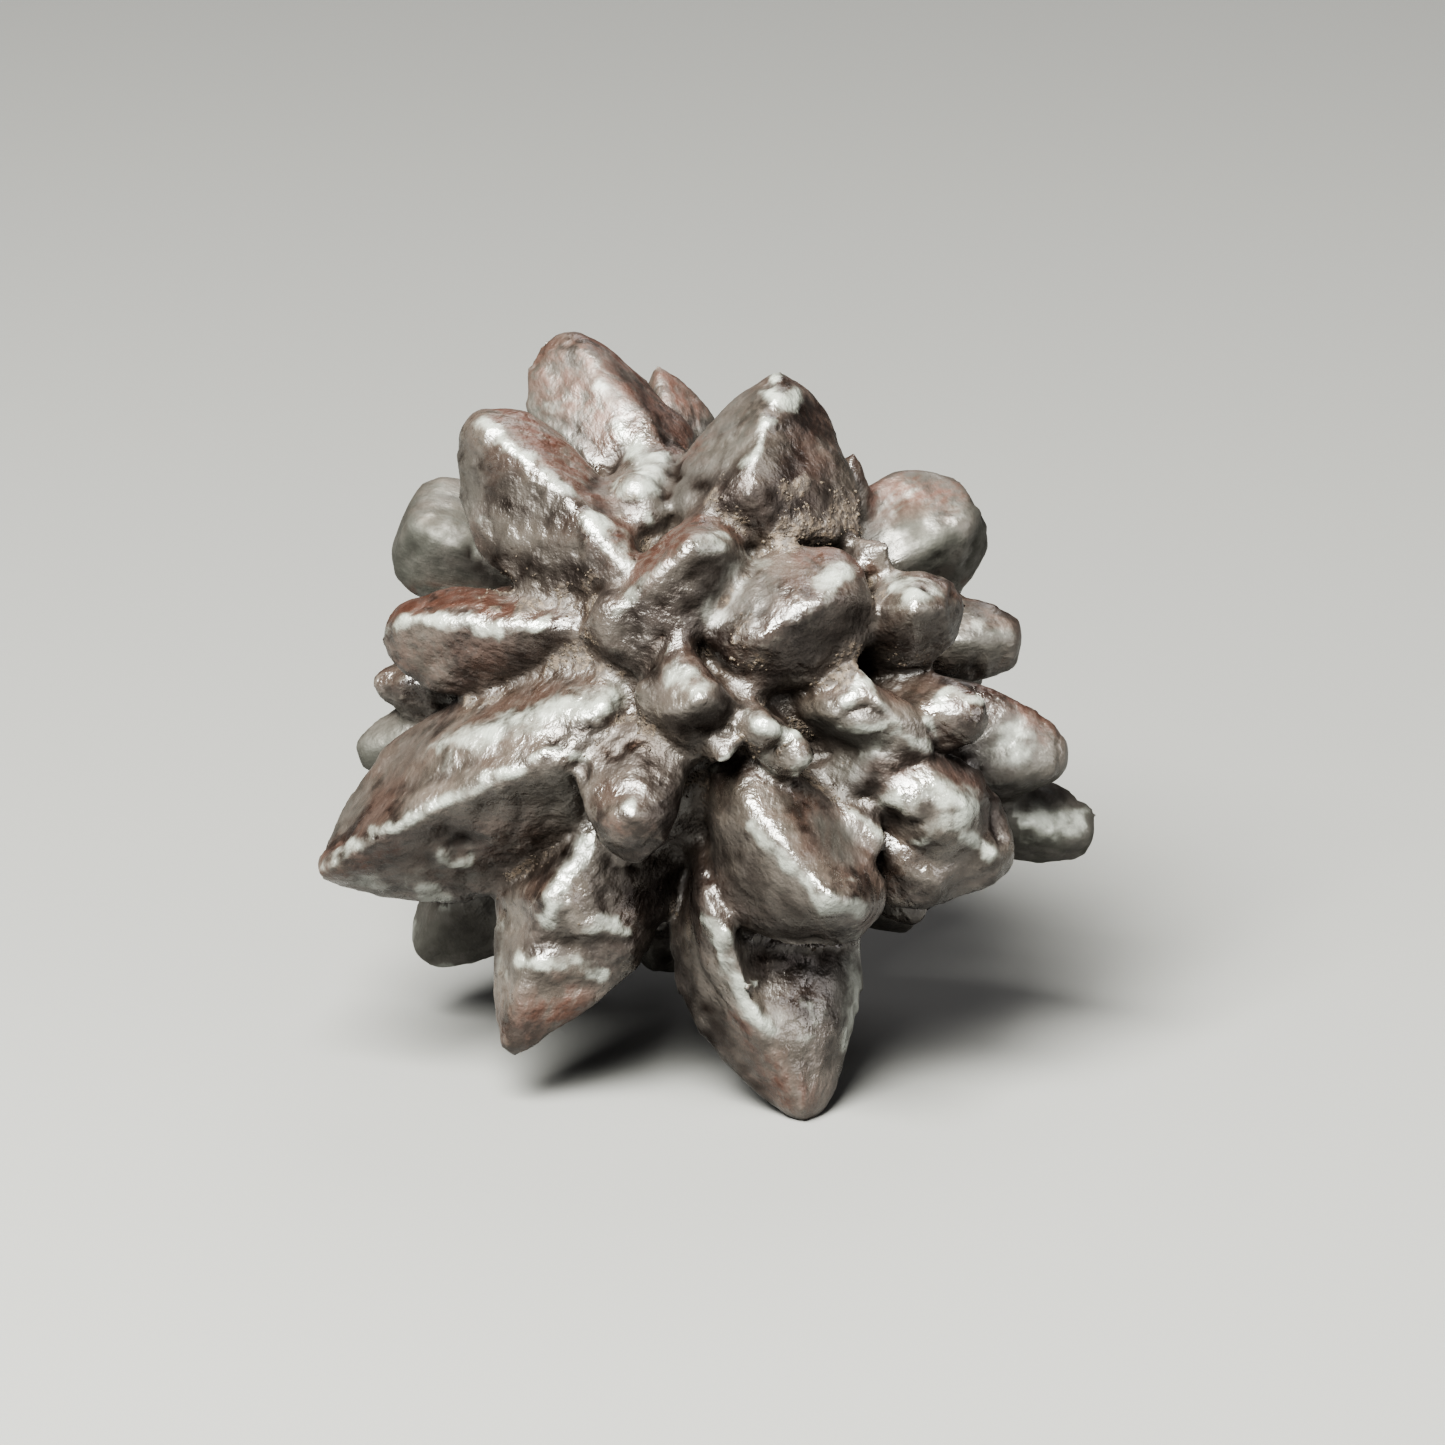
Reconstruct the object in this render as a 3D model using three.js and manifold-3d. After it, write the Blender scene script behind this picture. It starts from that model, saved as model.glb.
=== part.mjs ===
// Prophecy stone: a burst of iron-oxide crystals grown together round one heart, worn by sand and wind.
// It is one piece, so every crystal is joined into one solid. Millimetres, +Z up, standing on its feet.

import * as THREE from 'three';
import { mergeVertices } from 'three/addons/utils/BufferGeometryUtils.js';
import Module from 'manifold-3d';

const wasm = await Module();
wasm.setup();

// ---- driving dimensions ----
const LEAN = THREE.MathUtils.degToRad(18); // how far the stone's face looks up when it stands on its feet
const HEART_RADIUS = 10.5; // the lump in the middle that every crystal grows from
const GROUND = -20.05; // height of the resting plane, from the heart's centre: it wears the feet flat

// ---- a crystal's usual form ----
const EDGE_TRIM = THREE.MathUtils.degToRad(14); // half the turn that a worn edge takes up
const FACE_BULGE = 1.12; // 1 is a flat-sided lozenge, 2 is an ellipse
const SHOULDER = 0.6; // where the stem ends and the point starts, as a share of the length
const POINT = 0.14; // a usual tip's size beside the shoulder's
const SHARP = [POINT, POINT];
const UPRIGHT = [0, 0];
const ROOT_SHARE = 0.4; // how far out a flat-faced crystal's root lies, beside its rim
const FACING = 0.93; // a crystal nearer than this to the face's own direction is turned by the face's up

// Sections from root to tip: how far along the stem (root to shoulder) or the point (shoulder to tip) each
// one stands, and its size beside the shoulder's.
const STEM = [
  [0, 0.72],
  [0.55, 0.93],
  [1, 1],
];
const TAPER = [
  [0.42, 0.72],
  [0.8, 0.38],
  [1, POINT],
];

// The lozenge section of a crystal, with its four edges trimmed: eight corners, for half-widths of 1.
function lozenge() {
  const corners = [];
  for (let edge = 0; edge < 4; edge++)
    for (const side of [-1, 1]) {
      const turn = (edge * Math.PI) / 2 + side * EDGE_TRIM;
      const bend = (value) => Math.sign(value) * Math.abs(value) ** (2 / FACE_BULGE);
      corners.push(new THREE.Vector2(bend(Math.cos(turn)), bend(Math.sin(turn))));
    }
  return corners;
}

// A closed skin through rings of points that all have the same count, with a flat fan at each end.
function loft(rings) {
  const count = rings[0].length;
  const points = rings.flat();
  const faces = [];
  for (let ring = 0; ring < rings.length - 1; ring++)
    for (let i = 0; i < count; i++) {
      const a = ring * count + i;
      const b = ring * count + ((i + 1) % count);
      faces.push(a, b, b + count, a, b + count, a + count);
    }
  const last = (rings.length - 1) * count;
  for (let i = 1; i < count - 1; i++) {
    faces.push(0, i + 1, i);
    faces.push(last, last + i, last + i + 1);
  }
  const geometry = new THREE.BufferGeometry().setFromPoints(points);
  geometry.setIndex(faces);
  return geometry;
}

// A point given face-on (across, up, out of the face) in the standing stone's own axes.
function standing([acrossFace, up, out]) {
  const back = up * Math.sin(LEAN) - out * Math.cos(LEAN);
  const height = up * Math.cos(LEAN) + out * Math.sin(LEAN);
  return new THREE.Vector3(acrossFace, back, height);
}

const FACE_OUT = standing([0, 0, 1]);
const FACE_UP = standing([0, 1, 0]);

// The two directions across a crystal. Seen with its tip up, side runs to the left and front to the front,
// before roll turns both about its length.
function across(axis, roll) {
  const facing = Math.abs(axis.dot(FACE_OUT)) > FACING;
  const reference = facing ? FACE_UP.clone().negate() : FACE_OUT;
  const side = new THREE.Vector3().crossVectors(reference, axis).normalize();
  side.applyAxisAngle(axis, THREE.MathUtils.degToRad(roll));
  return { side, front: new THREE.Vector3().crossVectors(axis, side) };
}

// One crystal from its root to its tip. half holds its half-widths to the side and to the front at the
// shoulder. lean moves the tip off the middle, as shares of those, end is the tip's size beside the
// shoulder's, and full swells the point's sides.
function crystal({ root, tip, half, roll = 0, shoulder = SHOULDER, lean = UPRIGHT, end = SHARP, full = 0 }) {
  const start = standing(root);
  const along = standing(tip).sub(start);
  const axis = along.clone().normalize();
  const { side, front } = across(axis, roll);
  const section = (at, sizes, shift) =>
    lozenge().map((corner) =>
      start
        .clone()
        .addScaledVector(along, at)
        .addScaledVector(side, half[0] * (corner.x * sizes[0] + lean[0] * shift))
        .addScaledVector(front, half[1] * (corner.y * sizes[1] + lean[1] * shift)),
    );
  const stem = STEM.map(([share, size]) => section(shoulder * share, [size, size], 0));
  const point = TAPER.map(([share, size]) => {
    const sizes = end.map((blunt) => size + (blunt - POINT) * share + full * Math.sin(Math.PI * share));
    return section(shoulder + (1 - shoulder) * share, sizes, share);
  });
  return loft([...stem, ...point]);
}

// One crystal with flat faces: the tightest skin round its corners. Its root is its rim, drawn in towards
// the heart.
function block({ rim, ridge }) {
  const root = rim.map((corner) => corner.map((value) => value * ROOT_SHARE));
  return wasm.Manifold.hull([...rim, ...ridge, ...root].map((corner) => standing(corner).toArray()));
}

// A three.js geometry as a solid that can be joined and cut, and back again.
function solidOf(geometry) {
  const bare = new THREE.BufferGeometry().setAttribute('position', geometry.getAttribute('position'));
  bare.setIndex(geometry.index);
  const merged = mergeVertices(bare, 1e-4);
  const vertProperties = merged.getAttribute('position').array;
  const triVerts = new Uint32Array(merged.index.array);
  return new wasm.Manifold(new wasm.Mesh({ numProp: 3, vertProperties, triVerts }));
}

function geometryOf(solid) {
  const mesh = solid.getMesh();
  const geometry = new THREE.BufferGeometry();
  geometry.setAttribute('position', new THREE.BufferAttribute(new Float32Array(mesh.vertProperties), 3));
  geometry.setIndex(new THREE.BufferAttribute(new Uint32Array(mesh.triVerts), 1));
  return geometry;
}

// ---- the near crystals: their corners face-on, in mm from the heart ----
// rim runs round the crystal's sides, and ridge holds the corners that stand out between its faces.
const BLOCKS = [
  { name: 'tall blade',
    rim: [[-6.4, 19.4, -2.4], [-7.8, 19, -2.6], [-9, 17.3, -2], [-9.1, 15.2, -1.6], [-7, 13.4, 1],
      [-4.8, 10.7, 3], [0.6, 13.7, -1], [-2.1, 16.8, -2.2], [-4.3, 18.7, -2.4]],
    ridge: [[-5.5, 18.5, 0.2], [-2.7, 15.4, 2], [0, 11.8, 4]] },
  { name: 'north-west blade',
    rim: [[-9.9, 15.3, 3], [-11.3, 15, 3], [-12.4, 13.8, 3], [-12.5, 10.7, 3.6], [-11.4, 7.3, 5],
      [-9.4, 5.7, 6.4], [-7.1, 4.8, 7.6], [-4.4, 4.5, 9], [-2.6, 8.9, 6.6], [-5.2, 12.2, 4.6],
      [-7.6, 14.4, 3.6]],
    ridge: [[-10.8, 14.1, 5.8], [-8.9, 12.4, 7.4], [-6.1, 10, 9.2], [-3.2, 6.4, 10.8]] },
  { name: 'crown',
    rim: [[4.8, 17, 5.4], [2.9, 16.3, 4], [0.5, 13.9, 5], [-0.9, 11.8, 5.4], [-1.4, 10.2, 6.4],
      [0, 9, 8.6], [4.2, 7.9, 9.6], [9.1, 7.7, 7], [9.4, 9.9, 6], [8.6, 12.1, 5], [7.9, 14.1, 4.2],
      [6.5, 16.2, 4]],
    ridge: [[4.8, 15.7, 7.6], [3.7, 12.7, 10], [3.1, 10.1, 11.2]] },
  { name: 'red-backed crystal',
    rim: [[-16.2, 3.8, 3.2], [-16.4, 2.1, 3.2], [-15.6, 0.7, 3.6], [-13.3, -0.5, 4.6], [-11.1, 0.1, 5.6],
      [-7.9, 1.4, 7.2], [-5.3, 2.4, 8.2], [-5.5, 4.5, 8], [-9, 5.1, 6], [-12.5, 5.5, 4],
      [-15.4, 4.9, 3]],
    ridge: [[-15.2, 3.8, 5.8], [-12.9, 3.6, 7.2], [-9.4, 3.2, 8.6], [-6.5, 3.2, 9.4]] },
  { name: 'great west spear',
    rim: [[-19.8, -9.5, 3.6], [-19.5, -10.5, 3.2], [-17.5, -11, 2.2], [-14.5, -11.7, 1.6],
      [-11.8, -11.6, 1.8], [-10, -10.8, 2.6], [-8.1, -9.5, 4.4], [-5.6, -7.1, 7], [-4.5, 1.4, 8.4],
      [-6.6, 1.5, 6.6], [-9.8, 0.7, 4.2], [-13.4, -0.9, 2.2], [-16.3, -3.1, 1.2], [-18.4, -5.9, 1.2]],
    ridge: [[-19, -9.6, 5.2], [-14.7, -7.1, 8.4], [-9.7, -4.6, 10.8], [-6.5, -3.9, 11.8],
      [-3.9, -0.7, 11.6], [-8.9, -1.7, 9.4], [-12.9, -3.1, 7]] },
  { name: 'front foot',
    rim: [[-1.2, -12.8, 3.4], [-1, -15.7, 3.2], [0.5, -18.4, 3.6], [2.7, -20.9, 4.2], [5.2, -22.5, 5],
      [6.2, -23.2, 5.4], [6.5, -23.1, 3.6], [7.2, -22.3, 5], [8.1, -21, 4], [8.8, -18.7, 3],
      [9.4, -15.8, 2.2], [9.3, -12.9, 1.6]],
    ridge: [[1.2, -12.4, 8.4], [2.5, -15.6, 8], [4.1, -18.5, 7.6], [6, -22.1, 6.6], [8.1, -16.5, 5.2],
      [8.3, -13.3, 4.4]] },
  { name: 'foot rib',
    rim: [[0, -11.4, 7.4], [0.5, -14.3, 7], [2, -16.9, 7], [3.5, -18.8, 7]],
    ridge: [[0.8, -10.8, 10], [2, -12.6, 10], [3.3, -15.8, 9.2], [4.3, -18.4, 8.2]] },
  { name: 'boss',
    rim: [[-0.4, 2.6, 12.3], [-2.8, 0.1, 12.3], [-3, -0.9, 11.5], [-0.9, -2.9, 12], [0.5, -4.2, 11.3],
      [2.9, -1.5, 12], [2.4, -0.5, 12.8]],
    ridge: [[-0.7, -1.4, 15], [0.8, -0.6, 15.8], [1.8, -0.6, 15]] },
  { name: 'lower boss',
    rim: [[-4.7, -2.4, 10.5], [-2.6, -1.6, 11], [-0.7, -2.4, 11.5], [-0.1, -4.5, 12.4],
      [-0.3, -6.4, 12.6], [-1.2, -8.2, 12.2], [-2.6, -9.4, 12.2], [-4.1, -9, 11.8], [-5.6, -5.9, 11.8],
      [-6, -4.1, 11]],
    ridge: [[-4.6, -7.1, 13.8], [-2.9, -6.7, 15], [-1.2, -7.2, 13.8]] },
  { name: 'upper loaf',
    rim: [[-4.3, 2.8, 9.8], [-3.8, 4.9, 9.4], [-2.6, 6.8, 9], [-1.3, 8.4, 8.6], [0.5, 9.3, 8.6],
      [2.4, 8.7, 9], [3.2, 7.4, 9.6], [2.5, 5.5, 10.8], [0.7, 2.8, 11.6], [-0.5, 1.1, 11.8],
      [-2.1, 0.4, 11.5], [-3.8, 1.2, 10.8]],
    ridge: [[-3.5, 4.1, 11.8], [-1.9, 6.2, 12.9], [0, 7.6, 13.4], [2.1, 7.3, 12.4]] },
  { name: 'right loaf',
    rim: [[0.7, 2.9, 11.4], [1.7, 5.2, 10.6], [3.7, 6.9, 9.6], [5.9, 7.6, 9.4], [8, 7.5, 9.4],
      [9.4, 6.5, 9.6], [9.7, 4.5, 10.4], [9.4, 2.1, 10.2], [8.3, 0.8, 10.2], [5.8, -0.1, 10.8],
      [3.7, 0.2, 11.3], [2, 1.4, 12]],
    ridge: [[3.5, 2.5, 13.9], [6.3, 4, 14.1], [8.7, 4.8, 12.8], [7.9, 5.9, 12.6], [4.4, 5.5, 12.4]] },
  { name: 'east knob',
    rim: [[10, 5.8, 8], [12.1, 6.5, 8.3], [14, 5.9, 8], [14.7, 4.5, 8.2], [14.4, 2.6, 8],
      [13.4, 1.5, 8], [11.9, 1.1, 8.6], [10.2, 1.8, 8.4], [9.4, 3.6, 8.4]],
    ridge: [[10.3, 4.2, 11.4], [11.7, 3.8, 12.8], [13.4, 4.2, 11.8], [11.8, 5.2, 12]] },
  { name: 'south-east bar',
    rim: [[1.4, -4.5, 10.2], [2.7, -3.5, 10.4], [4, -3.5, 10.4], [5.9, -4.7, 10.2], [8, -6.6, 9.8],
      [9.6, -8.4, 9.4], [10.4, -10.2, 9.2], [10.3, -11.8, 9], [9.2, -13.2, 9.2], [7.3, -13.7, 9.6],
      [5.2, -13.8, 9.4], [2.8, -12.9, 9], [1.6, -11.1, 9], [1.1, -8.4, 9.4]],
    ridge: [[3.1, -5.9, 12.8], [5.2, -8.3, 14], [7.3, -10.8, 14.6], [8.5, -11, 13.8]] },
  { name: 'south-east block',
    rim: [[8.8, -5.4, 7], [9.6, -4.2, 7], [11.1, -3.7, 7.4], [13.2, -3.4, 7.4], [15.2, -4.3, 6.8],
      [16.6, -5.8, 5.8], [17.4, -7.9, 4.6], [17.2, -9.8, 4.2], [15.7, -10.4, 4.4], [13.8, -10.8, 4.8],
      [12.5, -11.3, 5], [11.2, -10.6, 5.2], [10.3, -9.2, 5.8], [9.2, -7.5, 7]],
    ridge: [[10.4, -5.2, 10.4], [12.7, -4.5, 10.4], [14.1, -5.7, 10.6], [11.8, -6.7, 10.8],
      [13.4, -7.8, 10.2], [15.5, -8.5, 7.6], [12.7, -9.6, 8]] },
  { name: 'north saddle',
    rim: [[-4, 12.6, 2], [-5.4, 10.6, 3.4], [-2.2, 7.4, 7], [0.4, 12, 4], [-1.8, 13.6, 2.4]],
    ridge: [[-3.6, 10.6, 5.8], [-1.6, 11.4, 6], [-1.2, 9.4, 7.6], [-3, 8.8, 8]] },
  { name: 'west saddle',
    rim: [[-5.3, 6.9, 7.5], [-7.2, 4.8, 6.4], [-7.4, 2.6, 6.4], [-4.7, 0.8, 8.6], [-2, 1, 10],
      [-2.6, 8.6, 7.6]],
    ridge: [[-4.6, 5.8, 8.8], [-5.8, 3.4, 8.8], [-4.2, 1.6, 9.8]] },
];

// ---- the other crystals, face-on: across, up and out of the face, in mm from the heart ----
const CRYSTALS = [
  // top
  { name: 'behind tall blade', root: [2, 4, -5], tip: [-1.8, 17.6, -6], half: [2.6, 2.4],
    shoulder: 0.75 },
  { name: 'crown sliver', root: [6, 4, -2], tip: [8.9, 12.9, 0], half: [1.9, 1.7], shoulder: 0.7 },
  // upper left
  { name: 'far north-west', root: [-3, 4, -4], tip: [-15.4, 9, -4.5], half: [3.8, 3.2], shoulder: 0.86,
    end: [0.62, 0.5] },
  { name: 'under red-backed', root: [-3, 1, 0], tip: [-16.9, 0.1, -1], half: [2.3, 2], shoulder: 0.75,
    end: [0.4, 0.3] },
  { name: 'pale west', root: [-3, 0, -2], tip: [-17.8, -3.6, -2.5], half: [2.5, 2], shoulder: 0.78,
    end: [0.4, 0.3] },
  // left
  { name: 'south-west back', root: [-2, -2, -4], tip: [-14.5, -14.6, -8.5], half: [3.7, 3.2], roll: 15,
    shoulder: 0.74, end: [0.35, 0.35] },
  // bottom
  { name: 'south-west fang', root: [-1, -3, 2], tip: [-9.6, -19.4, 4.5], half: [4.7, 4.2], roll: 20,
    shoulder: 0.62 },
  { name: 'fang collar', root: [-1, -3, 2.6], tip: [-6.6, -13, 4.7], half: [4.3, 4], roll: 20,
    shoulder: 0.9, end: [0.86, 0.84] },
  // centre, pointing out
  { name: 'east nub', root: [6, 4, 3], tip: [10.6, 7.6, 9], half: [1.6, 1.4], shoulder: 0.75 },
  // right
  { name: 'north-east block', root: [3, 3, -2], tip: [15.3, 9.8, -3], half: [4.2, 3.6], roll: 15,
    shoulder: 0.78, end: [0.5, 0.5] },
  { name: 'east back', root: [4, 2, -2], tip: [17.8, 2.7, -2.5], half: [2.6, 2.4], shoulder: 0.78,
    end: [0.55, 0.4] },
  { name: 'east point', root: [3, -1, 1], tip: [20, -3.8, 2], half: [4.1, 4], roll: 30, shoulder: 0.7,
    end: [0.34, 0.34] },
  { name: 'east point knob', root: [6, 0, 3], tip: [15.2, -1.8, 9.5], half: [2.3, 2.2], shoulder: 0.75,
    end: [0.5, 0.5] },
  { name: 'far east', root: [3, -3.4, -2], tip: [21.6, -7.9, -1.5], half: [2.6, 2.6], roll: 10,
    shoulder: 0.76, end: [0.5, 0.4], full: 0.1 },
  { name: 'south-east block right', root: [5, -4, 3], tip: [16.7, -9.4, 6.5], half: [3.2, 3],
    shoulder: 0.74, end: [0.5, 0.4] },
  { name: 'south-east block low', root: [5, -5, 3], tip: [13.8, -10.6, 7.5], half: [2.9, 2.7],
    shoulder: 0.74, end: [0.5, 0.5] },
  { name: 'under south-east', root: [3, -4, -2], tip: [12.6, -12.5, -1], half: [2.1, 2], shoulder: 0.7,
    end: [0.4, 0.4] },
  { name: 'facet one', root: [4, 0, 5], tip: [10.2, -1.3, 12], half: [2.2, 2.1], roll: 20,
    shoulder: 0.8 },
  { name: 'facet two', root: [4, -1, 5], tip: [11.8, -1.9, 10.8], half: [2, 2], shoulder: 0.8,
    end: [0.4, 0.3] },
  { name: 'east saddle', root: [5.6, -6.4, 6.6], tip: [12.4, -2.6, 9.8], half: [1.9, 1.8], roll: 20,
    shoulder: 0.7, end: [0.3, 0.3] },
  { name: 'nub one', root: [1, -1, 6], tip: [4.2, -2.3, 14], half: [1.5, 1.4], roll: 20, shoulder: 0.8,
    end: [0.5, 0.4] },
  { name: 'nub two', root: [2, -1, 6], tip: [6, -4, 13.2], half: [1.7, 1.5], roll: 45, shoulder: 0.8,
    end: [0.5, 0.3] },
  { name: 'nub three', root: [1, -1, 6], tip: [1.9, -3.7, 14], half: [1.1, 0.8], roll: 45,
    shoulder: 0.85, end: [0.6, 0.5] },
  { name: 'nub four', root: [4, -3, 6], tip: [10.2, -8.6, 10], half: [1.4, 1.3], shoulder: 0.8 },
  // back and underside
  { name: 'left foot', root: [-1, -2, -3], tip: [-10.1, -15.9, -16.9], half: [4.8, 4.2],
    shoulder: 0.66 },
  { name: 'right foot', root: [1, -2, -3], tip: [7.2, -16.9, -14.3], half: [4.6, 4.2], shoulder: 0.66 },
  { name: 'back crown', root: [1, 2, -2], tip: [3.5, 14, -11.5], half: [4.6, 4.2], roll: 20,
    shoulder: 0.64, end: [0.2, 0.2], full: 0.08 },
  { name: 'back north-west', root: [-1, 2, -2], tip: [-9.5, 11, -12], half: [4.2, 3.8], roll: -10,
    shoulder: 0.66, end: [0.3, 0.2] },
  { name: 'back north-east', root: [1, 1, -2], tip: [12, 9.5, -11], half: [4, 3.8], roll: 35,
    shoulder: 0.68, end: [0.3, 0.3] },
  { name: 'back west', root: [-1, 1, -2], tip: [-16.2, 2.6, -10], half: [4, 3.6], roll: 10,
    shoulder: 0.62 },
  { name: 'back heart', root: [0, 0, -3], tip: [-2.4, 2.4, -18.4], half: [4.8, 4.4], roll: 30,
    shoulder: 0.66, end: [0.3, 0.2], full: 0.08 },
  { name: 'back east', root: [1, 0, -2], tip: [15.8, 1.2, -11], half: [4.2, 3.8], roll: -15,
    shoulder: 0.66, end: [0.3, 0.2] },
  { name: 'back lower west', root: [-1, -1, -2], tip: [-13.4, -5.6, -14], half: [4.4, 4], roll: 25,
    shoulder: 0.66, end: [0.24, 0.2], full: 0.06 },
  { name: 'back lower east', root: [1, -1, -2], tip: [12.5, -7, -14], half: [4.4, 4], roll: 5,
    shoulder: 0.64 },
  { name: 'back low', root: [0, -1, -3], tip: [-1, -8.5, -17.6], half: [3.8, 3.6], roll: 15,
    shoulder: 0.68, end: [0.3, 0.2] },
  { name: 'back high', root: [1, 1, -3], tip: [5.6, 6.6, -16.6], half: [3.6, 3.4], shoulder: 0.7,
    end: [0.3, 0.3] },
  { name: 'back high west', root: [-1, 1, -3], tip: [-9.5, 4.4, -16], half: [3.4, 3.2], roll: 20,
    shoulder: 0.7 },
  { name: 'under middle', root: [0, -2, -1], tip: [-1.5, -15.4, -6.4], half: [3.8, 3.4], roll: 10,
    shoulder: 0.66, end: [0.3, 0.2] },
  { name: 'under east', root: [1, -2, -1], tip: [12, -13.2, -7.5], half: [3.6, 3.2], roll: 20,
    shoulder: 0.68 },
  { name: 'under west', root: [-1, -2, -1], tip: [-8.6, -14.8, -10.6], half: [3, 3], shoulder: 0.7 },
];

// ---- small crystals that fill the hollows between the large ones ----
const FILLERS = 28;
const FILLER_ROOT = 6; // how far from the heart's centre each one starts
const FILLER_REACH = 12; // and how far out it comes
const FILLER_HALF = 2;
const GOLDEN_TURN = Math.PI * (3 - Math.sqrt(5)); // between one filler and the next, so that none line up

// A filler crystal. The fillers are spread evenly round the heart, and each differs a little in size.
function filler(index) {
  const height = 1 - (2 * index + 1) / FILLERS;
  const ring = Math.sqrt(1 - height * height);
  const turn = index * GOLDEN_TURN;
  const heading = [ring * Math.cos(turn), ring * Math.sin(turn), height];
  const reach = FILLER_REACH * (1 + 0.13 * Math.sin(turn));
  const width = FILLER_HALF * (1 + 0.25 * Math.sin(1.7 * index));
  return {
    root: heading.map((value) => value * FILLER_ROOT),
    tip: heading.map((value) => value * reach),
    half: [width, FILLER_HALF],
    roll: THREE.MathUtils.radToDeg(turn) % 90,
    shoulder: 0.7,
    end: [0.4, 0.3],
  };
}

// ---- the stone ----
const CUTTER = 200; // wider than the stone

// Every crystal and the heart joined in one solid, worn flat where it stands.
function cluster() {
  const heart = solidOf(heartLump());
  const fillers = Array.from({ length: FILLERS }, (_, index) => filler(index));
  const pieces = [...CRYSTALS, ...fillers].map((row) => solidOf(crystal(row)));
  const grown = [...BLOCKS.map(block), ...pieces].reduce((whole, piece) => whole.add(piece), heart);
  const floor = new THREE.BoxGeometry(CUTTER, CUTTER, CUTTER).translate(0, 0, GROUND - CUTTER / 2);
  return grown.subtract(solidOf(floor));
}

function heartLump() {
  const lump = new THREE.IcosahedronGeometry(HEART_RADIUS, 2);
  return mergeVertices(new THREE.BufferGeometry().setAttribute('position', lump.getAttribute('position')));
}

// Moves a shape so that the middle of its base lies at the origin.
function standOnOrigin(geometry) {
  geometry.computeBoundingBox();
  const { min, max } = geometry.boundingBox;
  return geometry.translate(-(min.x + max.x) / 2, -(min.y + max.y) / 2, -min.z);
}

// Dark iron oxide, wind-polished to a grey sheen.
function ironOxide() {
  return new THREE.MeshStandardMaterial({ color: '#57463d', roughness: 0.4, metalness: 0.35 });
}

function stone() {
  const geometry = standOnOrigin(geometryOf(cluster()));
  geometry.computeVertexNormals();
  const mesh = new THREE.Mesh(geometry, ironOxide());
  mesh.name = 'stone';
  return mesh;
}

const part = new THREE.Group();
part.add(stone());
export default part;
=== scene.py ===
# %% [markdown]
# # A prophecy stone in Blender
# The real stone is iron oxide that took over the shape of an older burst of crystals. Wind and sand
# then rounded every edge and left a dark polish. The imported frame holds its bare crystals, all grown
# together in one solid. Here that solid gets its weathered skin, its sand and its finish.

# %% Open the frame
import itertools
import math

import bmesh
import bpy
import numpy as np
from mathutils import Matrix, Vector


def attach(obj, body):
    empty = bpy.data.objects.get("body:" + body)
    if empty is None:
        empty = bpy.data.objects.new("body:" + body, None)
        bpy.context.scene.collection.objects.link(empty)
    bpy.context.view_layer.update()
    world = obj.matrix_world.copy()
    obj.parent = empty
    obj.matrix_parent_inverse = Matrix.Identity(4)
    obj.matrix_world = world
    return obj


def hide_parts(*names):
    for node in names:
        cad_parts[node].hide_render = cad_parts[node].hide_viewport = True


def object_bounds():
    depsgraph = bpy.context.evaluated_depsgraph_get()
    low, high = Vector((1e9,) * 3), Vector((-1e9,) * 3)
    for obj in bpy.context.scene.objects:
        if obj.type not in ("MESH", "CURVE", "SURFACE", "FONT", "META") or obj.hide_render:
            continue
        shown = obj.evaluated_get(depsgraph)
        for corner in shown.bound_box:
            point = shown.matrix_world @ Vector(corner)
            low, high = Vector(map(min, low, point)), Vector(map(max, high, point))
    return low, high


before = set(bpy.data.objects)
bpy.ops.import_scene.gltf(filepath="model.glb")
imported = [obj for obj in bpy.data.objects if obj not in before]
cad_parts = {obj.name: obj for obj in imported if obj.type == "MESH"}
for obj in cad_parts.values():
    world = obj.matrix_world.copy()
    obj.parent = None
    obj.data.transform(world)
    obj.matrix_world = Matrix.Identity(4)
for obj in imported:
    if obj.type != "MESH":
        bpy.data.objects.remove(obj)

MM = 0.001
cad_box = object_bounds()
stone_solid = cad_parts["stone"]
print("CAD box, mm:", [round(side / MM, 2) for side in cad_box[1] - cad_box[0]])

# %% [markdown]
# ## The camera
# The stone is seen from a little above, through a long lens, so the crystals that point at the viewer
# look hardly larger than the ones behind. The camera looks along a line near the heart, the place
# that every crystal grows out of. The small slide keeps the stone a little left of the middle.

# %% Camera
HEART = np.array([-1.045, -0.6, 20.05]) * MM
VIEW_ELEVATION = math.radians(18)
VIEW_DISTANCE = 430 * MM
SENSOR_WIDTH_MM = 36
LENS_MM = 199.3
CAMERA_SLIDE = 1.747 * MM
CLIP_NEAR, CLIP_FAR = 0.01, 20

ACROSS = np.array([1.0, 0.0, 0.0])
FACE_UP = np.array([0.0, math.sin(VIEW_ELEVATION), math.cos(VIEW_ELEVATION)])
FACE_OUT = np.array([0.0, -math.cos(VIEW_ELEVATION), math.sin(VIEW_ELEVATION)])


def make_camera():
    """A camera on the line out of the heart, slid across and down by the same small step."""
    camera = bpy.data.objects.new("camera", bpy.data.cameras.new("camera"))
    bpy.context.scene.collection.objects.link(camera)
    camera.location = HEART + VIEW_DISTANCE * FACE_OUT + CAMERA_SLIDE * (ACROSS - FACE_UP)
    camera.rotation_euler = (math.pi / 2 - VIEW_ELEVATION, 0, 0)
    camera.data.sensor_width = SENSOR_WIDTH_MM
    camera.data.lens = LENS_MM
    camera.data.clip_start = CLIP_NEAR
    camera.data.clip_end = CLIP_FAR
    return camera


bpy.context.scene.camera = make_camera()
print("camera at, mm:", [round(c / MM, 1) for c in bpy.context.scene.camera.location])

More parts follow.
